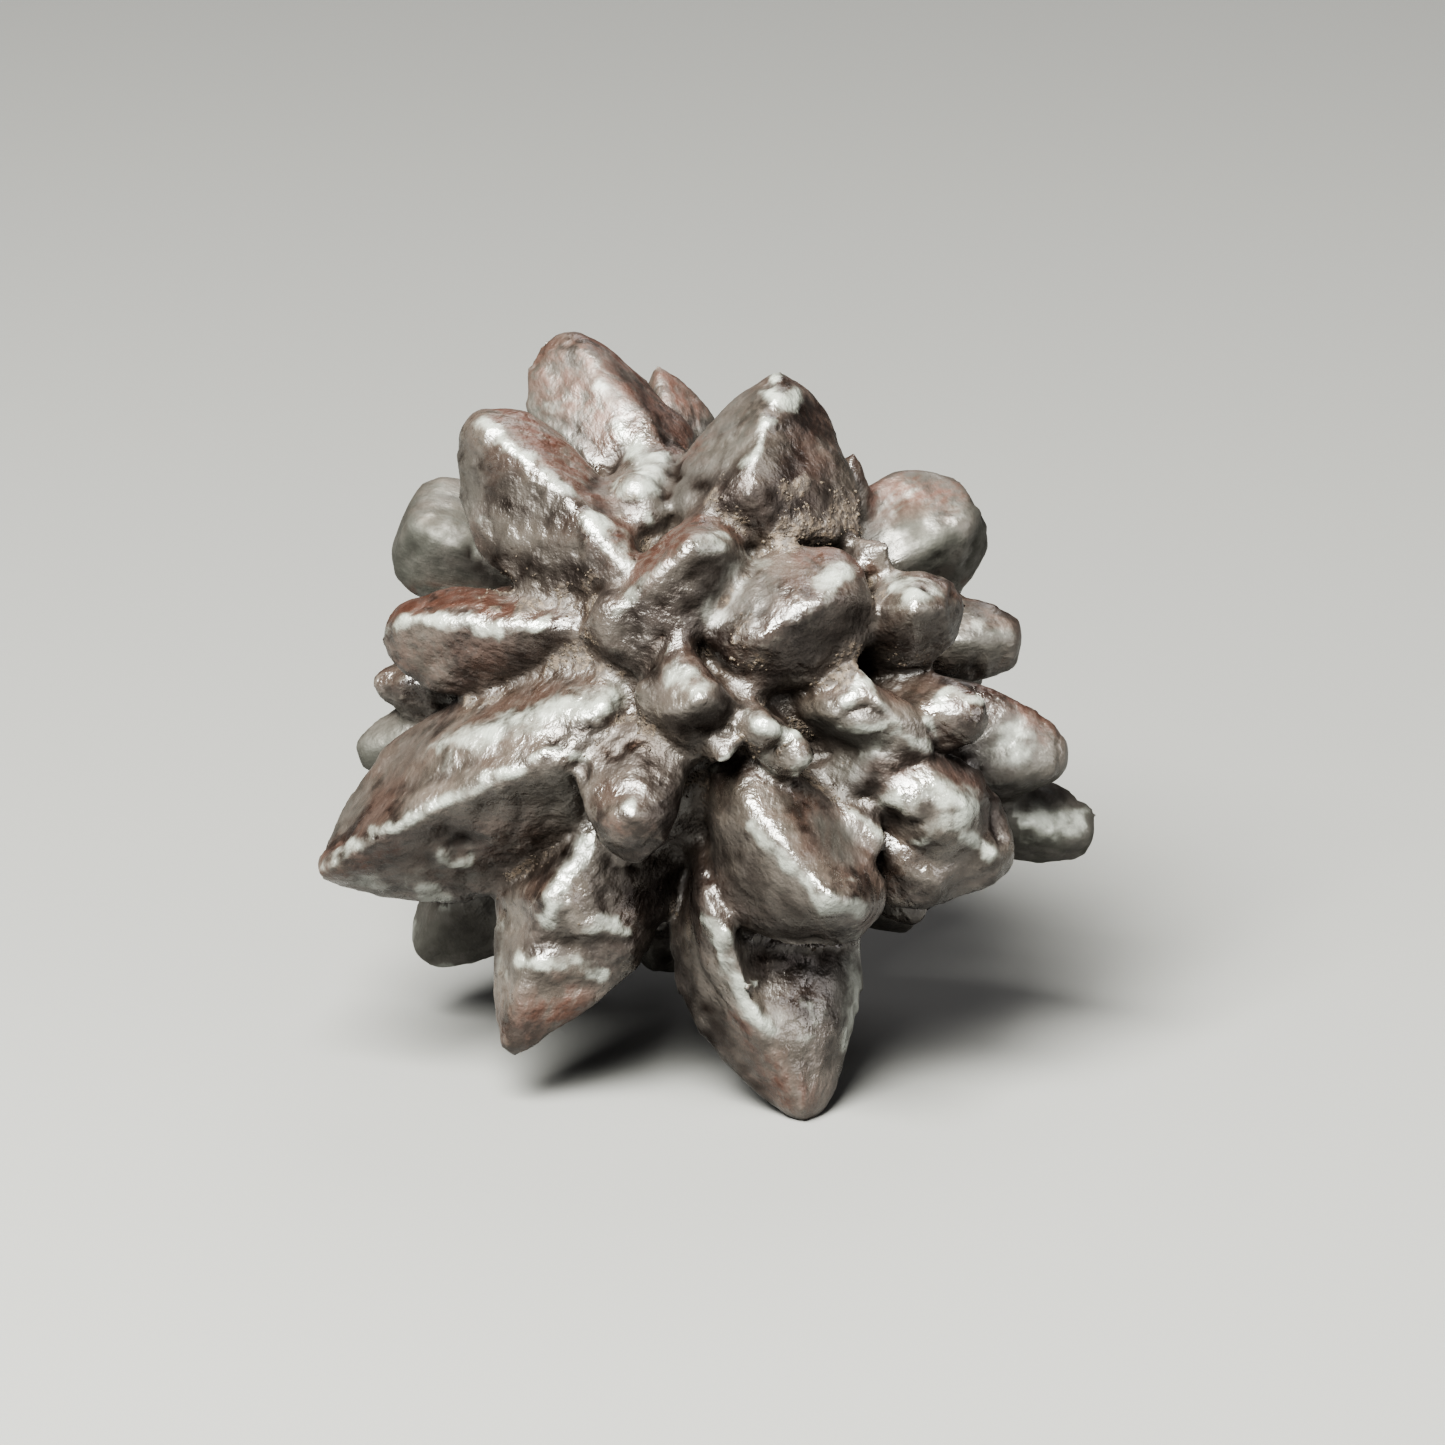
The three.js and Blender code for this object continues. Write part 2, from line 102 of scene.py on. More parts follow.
# %% [markdown]
# ## A fine skin over the crystals
# A weathered edge can't be made on a few thousand large triangles. So a copy of the solid is
# remeshed into small even squares, in the way that a sculptor starts from a block of clay.
# Remeshing also leaves a few tiny closed bubbles inside the stone, and they are taken out.
# Everything after this moves those small squares about with numpy.

# %% Remesh
SKIN_VOXEL = 0.315 * MM
WELD_REACH = 0.001 * MM


def without_bubbles(mesh):
    """Joined corners take the lowest of their numbers until none changes. The largest part stays."""
    ends = np.empty(len(mesh.edges) * 2, np.int32)
    mesh.edges.foreach_get("vertices", ends)
    first, second = ends.reshape(-1, 2).T
    part = np.arange(len(mesh.vertices))
    while True:
        lower = part.copy()
        np.minimum.at(lower, first, part[second])
        np.minimum.at(lower, second, part[first])
        lower = lower[lower]
        if np.array_equal(lower, part):
            break
        part = lower
    bubbles = np.flatnonzero(part != np.bincount(part).argmax())
    work = bmesh.new()
    work.from_mesh(mesh)
    work.verts.ensure_lookup_table()
    bmesh.ops.delete(work, geom=[work.verts[number] for number in bubbles], context="VERTS")
    work.to_mesh(mesh)
    work.free()
    print("corners in bubbles, now gone:", len(bubbles))


def fine_copy(solid, name, voxel):
    """The solid's loose triangles are merged at their corners, then remeshed into squares one voxel wide."""
    skin = bpy.data.objects.new(name, solid.data.copy())
    bpy.context.scene.collection.objects.link(skin)
    skin.data.materials.clear()
    weld = skin.modifiers.new("weld", "WELD")
    weld.merge_threshold = WELD_REACH
    remesh = skin.modifiers.new("remesh", "REMESH")
    remesh.mode = "VOXEL"
    remesh.voxel_size = voxel
    graph = bpy.context.evaluated_depsgraph_get()
    mesh = bpy.data.meshes.new_from_object(skin.evaluated_get(graph))
    skin.modifiers.clear()
    skin.data = mesh
    without_bubbles(mesh)
    return skin


skin = fine_copy(stone_solid, "weathered_stone", SKIN_VOXEL)
print("squares in the skin:", len(skin.data.polygons))

# %% [markdown]
# ## Numpy tools for the skin
# The skin's corners become one array, and its edges another. Smoothing, normals and noise are then
# sums over whole arrays.

# %% Arrays
FAR = 99.0
POINT_COUNT = len(skin.data.vertices)
EDGES = np.empty(len(skin.data.edges) * 2, np.int32)
skin.data.edges.foreach_get("vertices", EDGES)
EDGES = EDGES.reshape(-1, 2)
NEIGHBOURS = np.bincount(EDGES.ravel(), minlength=POINT_COUNT).astype(float)
CORNERS = np.empty(len(skin.data.loops), np.int32)
skin.data.loops.foreach_get("vertex_index", CORNERS)
QUADS = CORNERS.reshape(-1, 4)


def read_points(mesh):
    """Every corner of the mesh, as rows of x, y and z in millimetres."""
    flat = np.empty(len(mesh.vertices) * 3)
    mesh.vertices.foreach_get("co", flat)
    return flat.reshape(-1, 3) / MM


def around(values):
    """The mean of each corner's neighbours: the sum over its edges, divided by their number."""
    values = np.asarray(values, float)
    columns = values.reshape(POINT_COUNT, -1)
    total = np.empty_like(columns)
    for column in range(columns.shape[1]):
        one = columns[:, column]
        total[:, column] = np.bincount(EDGES[:, 0], one[EDGES[:, 1]], POINT_COUNT)
        total[:, column] += np.bincount(EDGES[:, 1], one[EDGES[:, 0]], POINT_COUNT)
    return (total / NEIGHBOURS[:, None]).reshape(values.shape)


def blur(values, rounds, share=0.6):
    """Each round moves every value a share of the way to the mean of its neighbours."""
    for _ in range(rounds):
        values = values + share * (around(values) - values)
    return values


def normals_of(points):
    """Each square's cross product of its diagonals, summed at its corners and brought to length one."""
    across = points[QUADS[:, 2]] - points[QUADS[:, 0]]
    along = points[QUADS[:, 3]] - points[QUADS[:, 1]]
    facing = np.cross(across, along)
    total = np.empty_like(points)
    for axis in range(3):
        total[:, axis] = np.bincount(QUADS.ravel(), np.repeat(facing[:, axis], 4), POINT_COUNT)
    return total / np.maximum(np.linalg.norm(total, axis=1), 1e-12)[:, None]


def step(values, low, high):
    """Nought below low, one above high, and a smooth curve between."""
    t = np.clip((values - low) / (high - low), 0, 1)
    return t * t * (3 - 2 * t)


print("corners:", POINT_COUNT, " edges:", len(EDGES))

# %% [markdown]
# ## Noise in numpy
# Nothing on a weathered stone is even. Blender's own noise takes one point at a time, so the skin gets
# noise that works on whole arrays: random numbers on a lattice of cells, blended smoothly between.
# A second kind gives the distance to scattered points, which makes round pits.

# %% Noise
def lattice(cells, seed):
    """A number from 0 to 1 for each whole-numbered cell, by mixing the bits of its address."""
    x, y, z = (cells[..., axis].astype(np.uint32) for axis in range(3))
    start = np.uint32(seed * 974634777 % 2**32)
    mixed = x * np.uint32(374761393) + y * np.uint32(668265263) + z * np.uint32(2147483647) + start
    mixed = (mixed ^ (mixed >> np.uint32(13))) * np.uint32(1274126177)
    mixed = (mixed ^ (mixed >> np.uint32(15))) * np.uint32(2246822519)
    return (mixed ^ (mixed >> np.uint32(16))) / float(2**32)


def noise(places, seed):
    """Smooth noise from -1 to 1: the eight lattice numbers round a place, blended by its distance to each."""
    low = np.floor(places)
    part = places - low
    part = part * part * (3 - 2 * part)
    cells = low.astype(np.int64)
    total = np.zeros(len(places))
    for corner in np.ndindex(2, 2, 2):
        weight = np.prod(np.where(np.array(corner) == 1, part, 1 - part), axis=1)
        total += weight * lattice(cells + np.array(corner), seed)
    return total * 2 - 1


def cell_distance(places, seed):
    """The distance from each place to the nearest of one scattered point in every cell of the lattice."""
    low = np.floor(places).astype(np.int64)
    nearest = np.full(len(places), FAR)
    for corner in np.ndindex(3, 3, 3):
        cell = low + np.array(corner) - 1
        spot = np.stack([lattice(cell, seed + axis) for axis in range(3)], axis=1)
        nearest = np.minimum(nearest, np.linalg.norm(cell + spot - places, axis=1))
    return nearest


print("noise at two places:", noise(np.array([[3.2, 1.7, 0.4], [8.9, 2.1, 5.5]]), 1).round(2))

# %% [markdown]
# ## Wind and sand round the edges
# Blown sand wears a ridge from both sides, but hardly reaches a crease. So a corner that stands
# proud of its neighbours is smoothed strongly, and one that lies in a crease is smoothed little.
# Smoothing also pulls the crystal tips in. Most of the broad pull is given back, which keeps the tips
# long.

# %% Rounding
ROUNDING_ROUNDS = 8
ROUNDING_SHARE = 0.6
CREASE_SHARE = 0.3
PILLOW_ROUNDS = 40
PILLOW_SHARE = 0.45
TIP_ROUNDS = 25
TIP_KEPT = 0.75

bare = read_points(skin.data)


def rounded(points):
    """Each round moves a corner towards its neighbours' mean, far less where the surface is hollow."""
    for _ in range(ROUNDING_ROUNDS):
        pull = around(points) - points
        proud = np.einsum("ij,ij->i", pull, normals_of(points)) < 0
        points = points + ROUNDING_SHARE * pull * np.where(proud, 1.0, CREASE_SHARE)[:, None]
    return points


def pillowed(points):
    """Ridges are let down towards a broadly blurred skin, so each flat face swells to its middle."""
    smooth = blur(points, PILLOW_ROUNDS)
    drop = np.einsum("ij,ij->i", smooth - points, normals_of(smooth))
    return points + PILLOW_SHARE * np.minimum(drop, 0)[:, None] * normals_of(smooth)


worn = pillowed(rounded(bare))
worn = worn - TIP_KEPT * blur(worn - bare, TIP_ROUNDS)
print("mean wear, mm:", round(float(np.linalg.norm(worn - bare, axis=1).mean()), 3))

# %% [markdown]
# ## Where the hollows are
# The broad shape is the skin blurred until single crystals fade. A corner that lies below it is in a
# hollow, which the finish darkens with matrix brown, partly deposit and partly painted shade, and one
# above it is on a ridge or a tip, which is polished. A shorter blur finds the narrow creases, where one
# crystal meets the next and sand stays. Both fade towards the tips of the crystals, which lie open to
# the wind.

# %% Hollows and ridges
HEART_MM = HEART / MM
SHAPE_ROUNDS = 120
CREASE_ROUNDS = 24


def height_over(points, rounds):
    """How far each corner stands out of the skin blurred by so many rounds, in millimetres."""
    smooth = blur(points, rounds)
    return np.einsum("ij,ij->i", points - smooth, normals_of(smooth))


relief = height_over(worn, SHAPE_ROUNDS)
near_relief = height_over(worn, CREASE_ROUNDS)
from_heart = np.linalg.norm(worn - HEART_MM, axis=1)
outward = (worn - HEART_MM) / from_heart[:, None]
inner = step(-from_heart, -17.0, -12.5)
hollow = step(-relief, -0.1, 0.6) * inner
crease = step(-near_relief, 0.05, 0.32) * step(-from_heart, -18.0, -14.0)
print("share in hollows and creases:", round(float(hollow.mean()), 3), round(float(crease.mean()), 3))
print("relief, mm:", [round(float(v), 2) for v in np.percentile(relief, [1, 10, 50, 90, 99])])

# %% [markdown]
# ## Strokes
# Some things can't be left to noise: a bright ridge, a step across a face, a pit with a curled lip. They
# are strokes along short lines, as a hand would carve them, and each one is a line of points across and
# up, in millimetres on a plane through the heart. Besides its height, a stroke paints: where its polish
# is above nought it lays a painted highlight in an almost white colour, and where it is below nought it
# lays a dark colour, partly the stone's dark tone and partly painted shade on dark faces, crevices and
# pits. A stroke works on the nearest surface that lies behind it. Its strength falls off as
# exp(-(distance / width) squared). A little noise makes its path wander and its strength uneven,
# because no ridge on a stone is ruled.

# %% Strokes
STROKES = [
    # width, height, then polish from -1, dark tone, dull and painted shade, to 1, smooth, bright and painted
    # highlight, then the line's points
    # the tall blade and what stands behind it
    (0.6, 0.12, 0.7, [(-4.8, 16.2), (-4.2, 15.5)]),  # tall blade, high shine
    (0.7, 0.15, 0.9, [(-3.5, 14.0), (-2.7, 12.9), (-1.5, 12.3)]),  # tall blade, ridge
    (0.8, 0.12, 0.9, [(-3.3, 10.6), (-1.9, 11.2)]),  # tall blade, foot
    (0.9, 0.12, 1.0, [(-3.0, 13.2), (-2.5, 11.8), (-2.2, 10.7)]),  # tall blade, white matrix at its foot
    (0.4, -0.3, -0.8, [(-5.0, 10.9), (-4.3, 11.9), (-3.7, 12.6)]),  # tall blade, crevice at its foot
    (0.9, 0, -0.7, [(-4.0, 17.3), (-2.1, 15.3), (-0.3, 13.3)]),  # tall blade, dull right edge
    (0.45, -0.35, -1.0, [(-1.3, 14.0), (-0.4, 12.8), (-0.8, 11.6), (-1.2, 10.2)]),  # crevice beside the crown
    (0.5, -0.15, -0.7, [(-4.6, 9.8), (-3.0, 9.7)]),  # brown matrix under the tall blade
    (0.4, 0.2, 0.9, [(-2.2, 9.2), (-1.9, 8.8)]),  # white lump over the upper loaf
    (0.5, 0.1, 0.6, [(-7.4, 15.2), (-6.2, 14.5)]),  # tall blade, flake
    (0.25, -0.2, -0.6, [(-7.0, 14.3), (-5.4, 13.3), (-4.6, 12.4)]),  # tall blade, crack
    (0.25, -0.15, -0.4, [(-2.7, 11.8), (-2.0, 12.9), (-1.0, 13.1)]),  # tall blade, second crack
    # north-west blade
    (0.55, 0.12, 1.0, [  # ridge
        (-10.9, 14.2), (-9.7, 13.2), (-8.6, 12.4), (-7.3, 11.3), (-6.3, 10.4)
    ]),
    (0.75, 0.12, 0.9, [(-5.3, 9.1), (-4.0, 8.0), (-3.2, 6.7)]),  # lower ridge
    (0.5, 0.08, 0.5, [(-11.3, 9.1), (-9.2, 8.5)]),  # glint
    (1.4, 0, -0.8, [(-9.7, 10.2), (-7.3, 9.7)]),  # dull band
    (1.5, 0, -0.9, [(-11.3, 7.0), (-9.1, 6.2), (-6.2, 6.2), (-4.8, 5.4)]),  # dark foot
    (0.25, -0.15, -0.3, [(-15.3, 6.9), (-14.0, 8.2), (-12.9, 9.7)]),  # far north-west, crease
    # crown
    (0.4, 0.1, 0.9, [(4.8, 16.6)]),  # tip
    (0.85, 0.12, 1.0, [(4.6, 15.5), (5.5, 15.4)]),  # high shine
    (0.4, 0.12, 0.8, [(4.2, 14.2), (3.8, 12.8), (2.9, 11.8)]),  # ridge
    (0.25, -0.15, -0.5, [(4.3, 16.2), (5.2, 16.2)]),  # notch under the tip
    (0.8, 0.45, -0.3, [(6.0, 8.3), (7.6, 8.3)]),  # sandy fill at its foot
    (0.7, 0, -0.6, [(0.4, 12.0), (1.6, 11.2)]),  # brown lower left
    (1.6, 0, -0.2, [(5.9, 13.4), (5.9, 11.8)]),  # dull right face
    (1.6, 0, -0.9, [(0.0, 10.8), (3.8, 10.2), (7.0, 10.2)]),  # dark foot
    # red-backed crystal
    (0.55, 0.12, 1.0, [(-15.8, 3.3), (-13.4, 3.7), (-11.3, 3.4), (-10.1, 3.1)]),  # ridge
    (0.45, 0.12, 0.9, [(-9.1, 3.2), (-7.6, 3.5)]),  # inner ridge
    (1.6, 0, -0.25, [(-15.1, 1.3), (-11.8, 1.5), (-8.6, 1.9)]),  # lower face
    # loaves
    (0.5, 0.1, 0.7, [(-3.7, 4.2), (-2.4, 5.4), (-1.0, 6.6)]),  # upper loaf, ridge
    (0.65, 0.12, 1.0, [(0.5, 7.5), (1.7, 7.7)]),  # upper loaf, high shine
    (0.35, -0.25, -1.0, [(0.0, 4.0)]),  # upper loaf, upper pit
    (0.35, -0.25, -1.0, [(-1.3, 2.8)]),  # upper loaf, lower pit
    (0.6, 0.08, -0.8, [(-2.4, 2.4)]),  # upper loaf, lump
    (1.9, 0, -0.9, [(1.1, 5.9), (-0.5, 4.8), (-2.2, 2.7)]),  # upper loaf, dark face
    (1.2, -0.4, -1.0, [(-3.1, 1.6), (-2.3, 1.1)]),  # upper loaf, dark under its end
    (0.9, 0, -1.0, [(-2.8, 4.0), (-1.9, 3.0)]),  # upper loaf, dark end
    (1.1, 0, 0.75, [(1.3, 3.9), (2.4, 5.3), (3.3, 6.7)]),  # right loaf, pale left face
    (0.95, 0.1, 1.0, [(8.2, 6.1), (7.4, 5.4)]),  # right loaf, high shine
    (0.35, 0.12, 0.4, [(3.8, 2.5), (5.6, 3.7), (7.8, 4.8)]),  # right loaf, ridge
    (1.7, 0, -0.75, [(5.1, 1.5), (7.5, 2.7), (9.2, 3.8)]),  # right loaf, dark lower face
    (0.3, 0.15, 0.5, [(4.7, 1.9)]),  # right loaf, speck
    (0.3, 0.15, 0.5, [(6.6, 1.2)]),  # right loaf, second speck
    (0.3, -0.2, -0.6, [(3.3, 6.5), (4.3, 4.8), (3.7, 3.5)]),  # right loaf, fold
    # east knob, east back and the points beyond
    (1.1, 0.1, 1.0, [(11.0, 5.4), (12.4, 5.1)]),  # east knob, high shine
    (1.6, 0, -0.35, [(10.5, 3.2), (12.1, 2.4), (13.7, 3.1)]),  # east knob, lower face
    (0.3, 0.1, 0.3, [(11.6, 11.0), (10.6, 8.9), (10.3, 7.4)]),  # north-east block, left ridge
    (0.3, 0.1, 0.35, [(14.6, 10.8), (14.9, 8.4), (14.0, 5.8)]),  # north-east block, right ridge
    (0.8, 0.05, 0.55, [(15.3, 3.3), (16.8, 3.0)]),  # east back, pale band
    (0.5, 0.12, 1.0, [(13.2, -0.9), (14.1, -0.4), (15.4, -0.7)]),  # east point knob, high shine
    (0.22, 0.12, 0.7, [(12.5, -1.6), (13.4, -2.5), (14.9, -2.7)]),  # east point knob, rim
    (1.3, 0.05, 0.9, [(17.1, -2.4), (17.6, -3.3)]),  # east point, pale face
    (1.3, 0, -0.35, [(16.1, -4.9), (17.6, -5.6), (18.8, -5.1)]),  # east point, underside
    (1.3, 0.05, 0.9, [(17.9, -7.2), (19.3, -7.0), (20.4, -7.4)]),  # far east, soft shine
    # facets and the east saddle
    (0.3, 0.15, 0.9, [(9.0, 1.2), (10.0, -0.5), (11.1, -1.7)]),  # facet one, right edge
    (0.6, 0.1, 0.9, [(8.9, 0.3), (8.5, -0.8)]),  # facet one, shine
    (0.3, 0.12, 0.8, [(8.1, -2.0), (9.6, -2.2), (11.1, -1.7)]),  # facet one, lower edge
    (0.4, -0.5, -0.9, [(8.5, -1.4), (9.5, -1.0), (10.3, -1.4)]),  # facet one, notch
    (0.7, 0.1, 0.6, [(10.3, -2.8), (9.1, -4.2), (8.0, -5.6)]),  # east saddle, pale band
    (0.5, 0.12, 0.9, [(11.1, -2.4), (12.5, -3.1)]),  # east saddle, shine
    # nubs
    (0.5, 0.32, 0.9, [(3.3, -1.5), (4.4, -2.2), (5.6, -2.9)]),  # nub one
    (0.3, 0.1, 0.9, [(1.5, -4.2), (2.4, -3.4)]),  # nub three
    (0.6, 0.1, 0.9, [(5.8, -4.4), (7.0, -3.5)]),  # nub two
    (0.5, 0.1, 0.8, [(4.0, -3.5), (4.6, -4.3)]),  # nub between
    # south-east block
    (0.9, 0.3, -1.0, [(9.1, -5.1), (10.6, -4.0), (13.2, -3.6), (15.3, -4.5)]),  # arch
    (0.95, 0.25, 1.0, [(10.9, -6.0), (11.9, -6.1)]),  # west lump
    (0.9, 0.2, 1.0, [(12.6, -5.3), (13.8, -5.6), (15.0, -6.4)]),  # crest
    (0.85, 0.15, 1.0, [(14.6, -6.9), (12.9, -7.6)]),  # lower lump
    (0.3, 0.12, 0.8, [(11.9, -8.2), (13.1, -8.0)]),  # lip
    (0.35, -0.45, -0.9, [(10.6, -6.9), (11.6, -7.5), (12.6, -7.2)]),  # gap
    (0.22, -0.3, -0.7, [(12.6, -5.7), (13.0, -6.7)]),  # cleft
    (0.55, 0.2, 1.0, [(14.7, -8.0), (16.1, -8.8)]),  # right ridge
    (0.3, -0.3, -0.6, [(15.9, -6.5), (16.9, -8.1)]),  # right cleft
    (1.2, 0, -0.2, [(13.4, -9.7), (14.8, -9.9)]),  # dull lobe
    (0.7, 0, -0.7, [(15.7, -5.0), (16.7, -7.2)]),  # brown right side
    (0.6, -0.1, -0.9, [(9.8, -6.6), (11.0, -7.2)]),  # brown left side
    # bosses
    (1.05, 0.06, 1.0, [(-0.3, 0.5), (0.4, -0.1)]),  # boss, high shine
    (0.2, 0.1, 0.6, [(-0.4, 2.6), (-1.6, 1.4), (-2.8, 0.0)]),  # boss, rim
    (0.3, 0.2, 0.3, [(-1.6, -1.6), (1.0, -0.4), (1.9, 0.5)]),  # boss, edge of the upper facet
    (1.3, 0, -0.9, [(0.0, -2.4), (1.3, -1.9), (2.4, -1.2)]),  # boss, dark lower face
    (0.5, 0.1, 1.0, [(-3.1, -6.2)]),  # lower boss, shine
    (0.4, 0.1, 0.9, [(-2.4, -5.4)]),  # lower boss, second shine
    (1.5, 0, -1.0, [(-4.2, -3.6), (-2.7, -3.4), (-1.0, -4.4), (-0.9, -6.4)]),  # lower boss, duller top
    (0.3, 0.12, 0.2, [(-4.9, -8.2), (-3.0, -8.4), (-1.2, -8.1)]),  # lower boss, rim of the end
    (0.7, -0.1, -1.0, [(-4.2, -9.2), (-2.7, -9.4), (-1.4, -8.9)]),  # lower boss, dark end
    # great west spear
    (0.5, 0.12, 1.0, [  # ridge
        (-19.2, -9.5), (-17.4, -8.2), (-15.0, -7.2), (-13.4, -6.1), (-11.4, -5.6), (-9.9, -4.7),
        (-8.9, -4.4)
    ]),
    (1.1, 0.1, 0.9, [  # sheen on the upper face
        (-12.8, -3.5), (-11.2, -2.8), (-9.0, -1.7), (-6.9, -1.3), (-4.6, -0.8), (-3.4, -0.3)
    ]),
    (0.5, 0.15, 0.9, [(-8.1, -3.7), (-6.9, -3.2), (-5.6, -3.7)]),  # root crest
    (0.6, 0.08, 0.7, [(-4.6, 1.2), (-4.1, 0.3)]),  # root
    (0.35, -0.15, -0.5, [(-15.5, -5.4), (-13.4, -4.6), (-11.4, -4.1)]),  # step over the ridge
    (0.6, -0.5, -1.0, [(-12.9, -8.2), (-12.4, -8.4), (-11.9, -8.2)]),  # curled pit
    (0.42, 0.3, 1.0, [(-13.2, -9.0), (-12.5, -9.5), (-11.6, -9.1)]),  # lip of the curled pit
    (0.25, -0.2, -0.6, [(-17.7, -10.2), (-17.1, -10.4)]),  # small pit
    (0.4, -0.4, -1.0, [(-7.3, -2.9), (-6.6, -3.1)]),  # root pit
    (0.45, -0.5, -1.0, [(-5.9, -4.2), (-5.5, -4.6)]),  # deep root pit
    (0.4, -0.35, -1.0, [(-6.7, -2.2), (-5.3, -2.3)]),  # upper root pit
    (0.3, -0.12, -0.5, [(-7.2, -5.5), (-7.7, -8.2)]),  # wrinkle
    (0.3, -0.12, -0.5, [(-9.0, -6.0), (-9.6, -8.6)]),  # second wrinkle
    (1.5, 0, -0.2, [(-8.6, -7.2), (-6.2, -6.3)]),  # lower face near its root
    (0.8, 0.06, 0.5, [(-15.6, -10.3), (-13.7, -10.9)]),  # pale patch under the ridge
    (0.5, 0.05, 0.4, [(-12.2, -11.2), (-11.0, -11.0)]),  # second pale patch
    (0.9, 0.12, 0.8, [(-14.0, -10.5), (-13.1, -11.2)]),  # pale facet
    (0.6, 0.1, 0.7, [(-17.8, -10.2), (-16.2, -10.6)]),  # pale facet by the tip
    (1.0, -0.2, -0.25, [(-16.0, -8.4), (-13.6, -7.4), (-11.4, -6.8)]),  # brown band under the ridge
    (0.6, -0.06, -0.7, [(-15.4, -8.9), (-13.9, -9.2)]),  # brown patch
    (0.9, 0, -1.0, [(-9.5, -10.0), (-6.5, -8.8)]),  # dark crevice over the fang
    (1.5, 0.04, 0.45, [(-14.4, -9.9), (-12.0, -9.0), (-9.6, -8.2)]),  # grey lower face
    (0.7, 0.04, 0.4, [(-16.4, -9.7), (-14.4, -9.3)]),  # second grey patch
    (0.5, 0, 0.7, [(-14.6, -12.6), (-14.9, -14.2), (-14.0, -14.8)]),  # behind the spear, pale left edge
    (0.35, 0.08, 0.9, [(-13.2, -14.8), (-10.8, -14.8)]),  # behind the spear, bright lower edge
    (1.1, 0, -0.7, [(-11.6, -12.9), (-10.4, -13.8)]),  # behind the spear, dark face
    # fang
    (0.75, 0.12, 1.0, [(-5.5, -8.2), (-6.2, -9.5), (-6.8, -10.8), (-7.2, -12.2)]),  # ridge
    (0.35, 0.2, 0.9, [(-5.5, -13.0), (-4.3, -12.8), (-3.2, -13.1)]),  # first ledge
    (0.45, -0.22, -0.7, [  # groove between the ledges
        (-8.3, -13.9), (-6.5, -13.6), (-4.6, -13.8), (-2.7, -13.8)
    ]),
    (0.6, 0.22, 1.0, [(-8.9, -14.6), (-7.6, -14.8), (-5.9, -14.8), (-4.7, -15.2)]),  # second ledge
    (0.3, -0.15, -0.3, [(-8.7, -15.7), (-7.0, -15.9), (-4.8, -16.1)]),  # edge of the end face
    (0.5, 0.05, 0.6, [(-9.9, -11.5), (-10.1, -14.5), (-9.8, -16.5)]),  # pale left edge
    (0.5, 0.1, 0.9, [(-4.9, -12.4), (-3.9, -12.6)]),  # glint over the first ledge
    (0.8, 0, -0.7, [(-4.7, -10.2), (-4.7, -11.8)]),  # brown right face
    # front foot
    (0.7, 0.12, 1.0, [  # ridge
        (1.1, -12.6), (1.8, -13.7), (2.5, -15.3), (3.0, -16.7), (3.9, -18.0)
    ]),
    (0.5, 0.12, 0.8, [(3.9, -18.2), (5.1, -18.8), (6.3, -18.5)]),  # step
    (0.9, 0.06, 0.9, [(9.2, -13.7), (9.0, -16.7), (8.5, -18.8)]),  # pale right edge
    (0.8, 0.05, 0.6, [(4.2, -17.6), (5.9, -17.9), (7.6, -16.9)]),  # pale floor of the hollow
    (0.9, 0, -0.9, [(0.2, -16.0), (1.6, -18.2), (3.0, -20.4)]),  # dark beside the ridge
    (0.6, 0.1, 0.6, [(6.2, -16.7), (6.9, -17.6)]),  # inner glint
    (0.25, 0.2, 0.9, [(3.6, -15.7)]),  # speck
    (1.3, -0.4, -0.9, [(4.2, -14.6), (5.9, -14.1), (7.6, -14.2)]),  # hollow
    (1.4, 0, -0.9, [(-1.0, -14.5), (0.0, -17.2), (2.0, -19.9), (3.3, -21.5)]),  # dark left face
    # south-east bar
    (0.45, 0.12, 1.0, [(3.5, -7.3), (4.6, -8.6), (5.9, -10.0), (7.2, -11.4), (8.6, -11.6)]),  # ridge
    (0.4, 0.08, 0.7, [(8.6, -10.3)]),  # second shine
    (0.6, 0.12, 1.0, [(7.4, -11.5), (8.8, -11.8)]),  # bright end of the ridge
    (0.4, 0.1, 0.5, [(7.1, -11.9), (7.8, -13.1), (8.7, -12.9)]),  # end
    (0.35, 0.15, 0.7, [(8.2, -6.0), (9.6, -7.5), (10.6, -8.9)]),  # thin ridge beyond
    (2.2, 0, -0.7, [(2.0, -9.1), (3.0, -10.8), (4.8, -12.6)]),  # dark lower face
]
print("strokes:", len(STROKES))

# %% [markdown]
# ## Where a stroke lands
# A stroke's points lie on a flat plane, and have to find the stone behind it. So each corner of the skin
# is carried to that plane along the line of sight. The plane is cut into cells half a millimetre wide,
# and the corner that comes furthest forward in each one shows where the surface is. A corner takes
# part when it lies close behind that one and faces forward.

# %% Strokes on the skin
DEPTH_CELL_MM = 0.5
SURFACE_DEPTH_MM = 1.6
WANDER_MM = 0.2
FINE_WANDER_MM = 0.14
FACE_FRAME = np.stack([ACROSS, FACE_UP, FACE_OUT])


def face_on(points):
    """Across, up and out from the heart, as the camera faces the stone."""
    return (points - HEART_MM) @ FACE_FRAME.T


def as_seen(places):
    """Where each face-on place falls on the plane through the heart, along the line from the camera."""
    reach = VIEW_DISTANCE / MM
    return places[:, :2] * (reach / (reach - places[:, 2]))[:, None]


def nearest_surface(seen, out):
    """True for each corner that lies within a little of the nearest one in its cell of the view."""
    cells = np.floor(seen / DEPTH_CELL_MM).astype(int)
    cells -= cells.min(0)
    depth = np.full(cells.max(0) + 1, -FAR)
    np.maximum.at(depth, (cells[:, 0], cells[:, 1]), out)
    return out > depth[cells[:, 0], cells[:, 1]] - SURFACE_DEPTH_MM


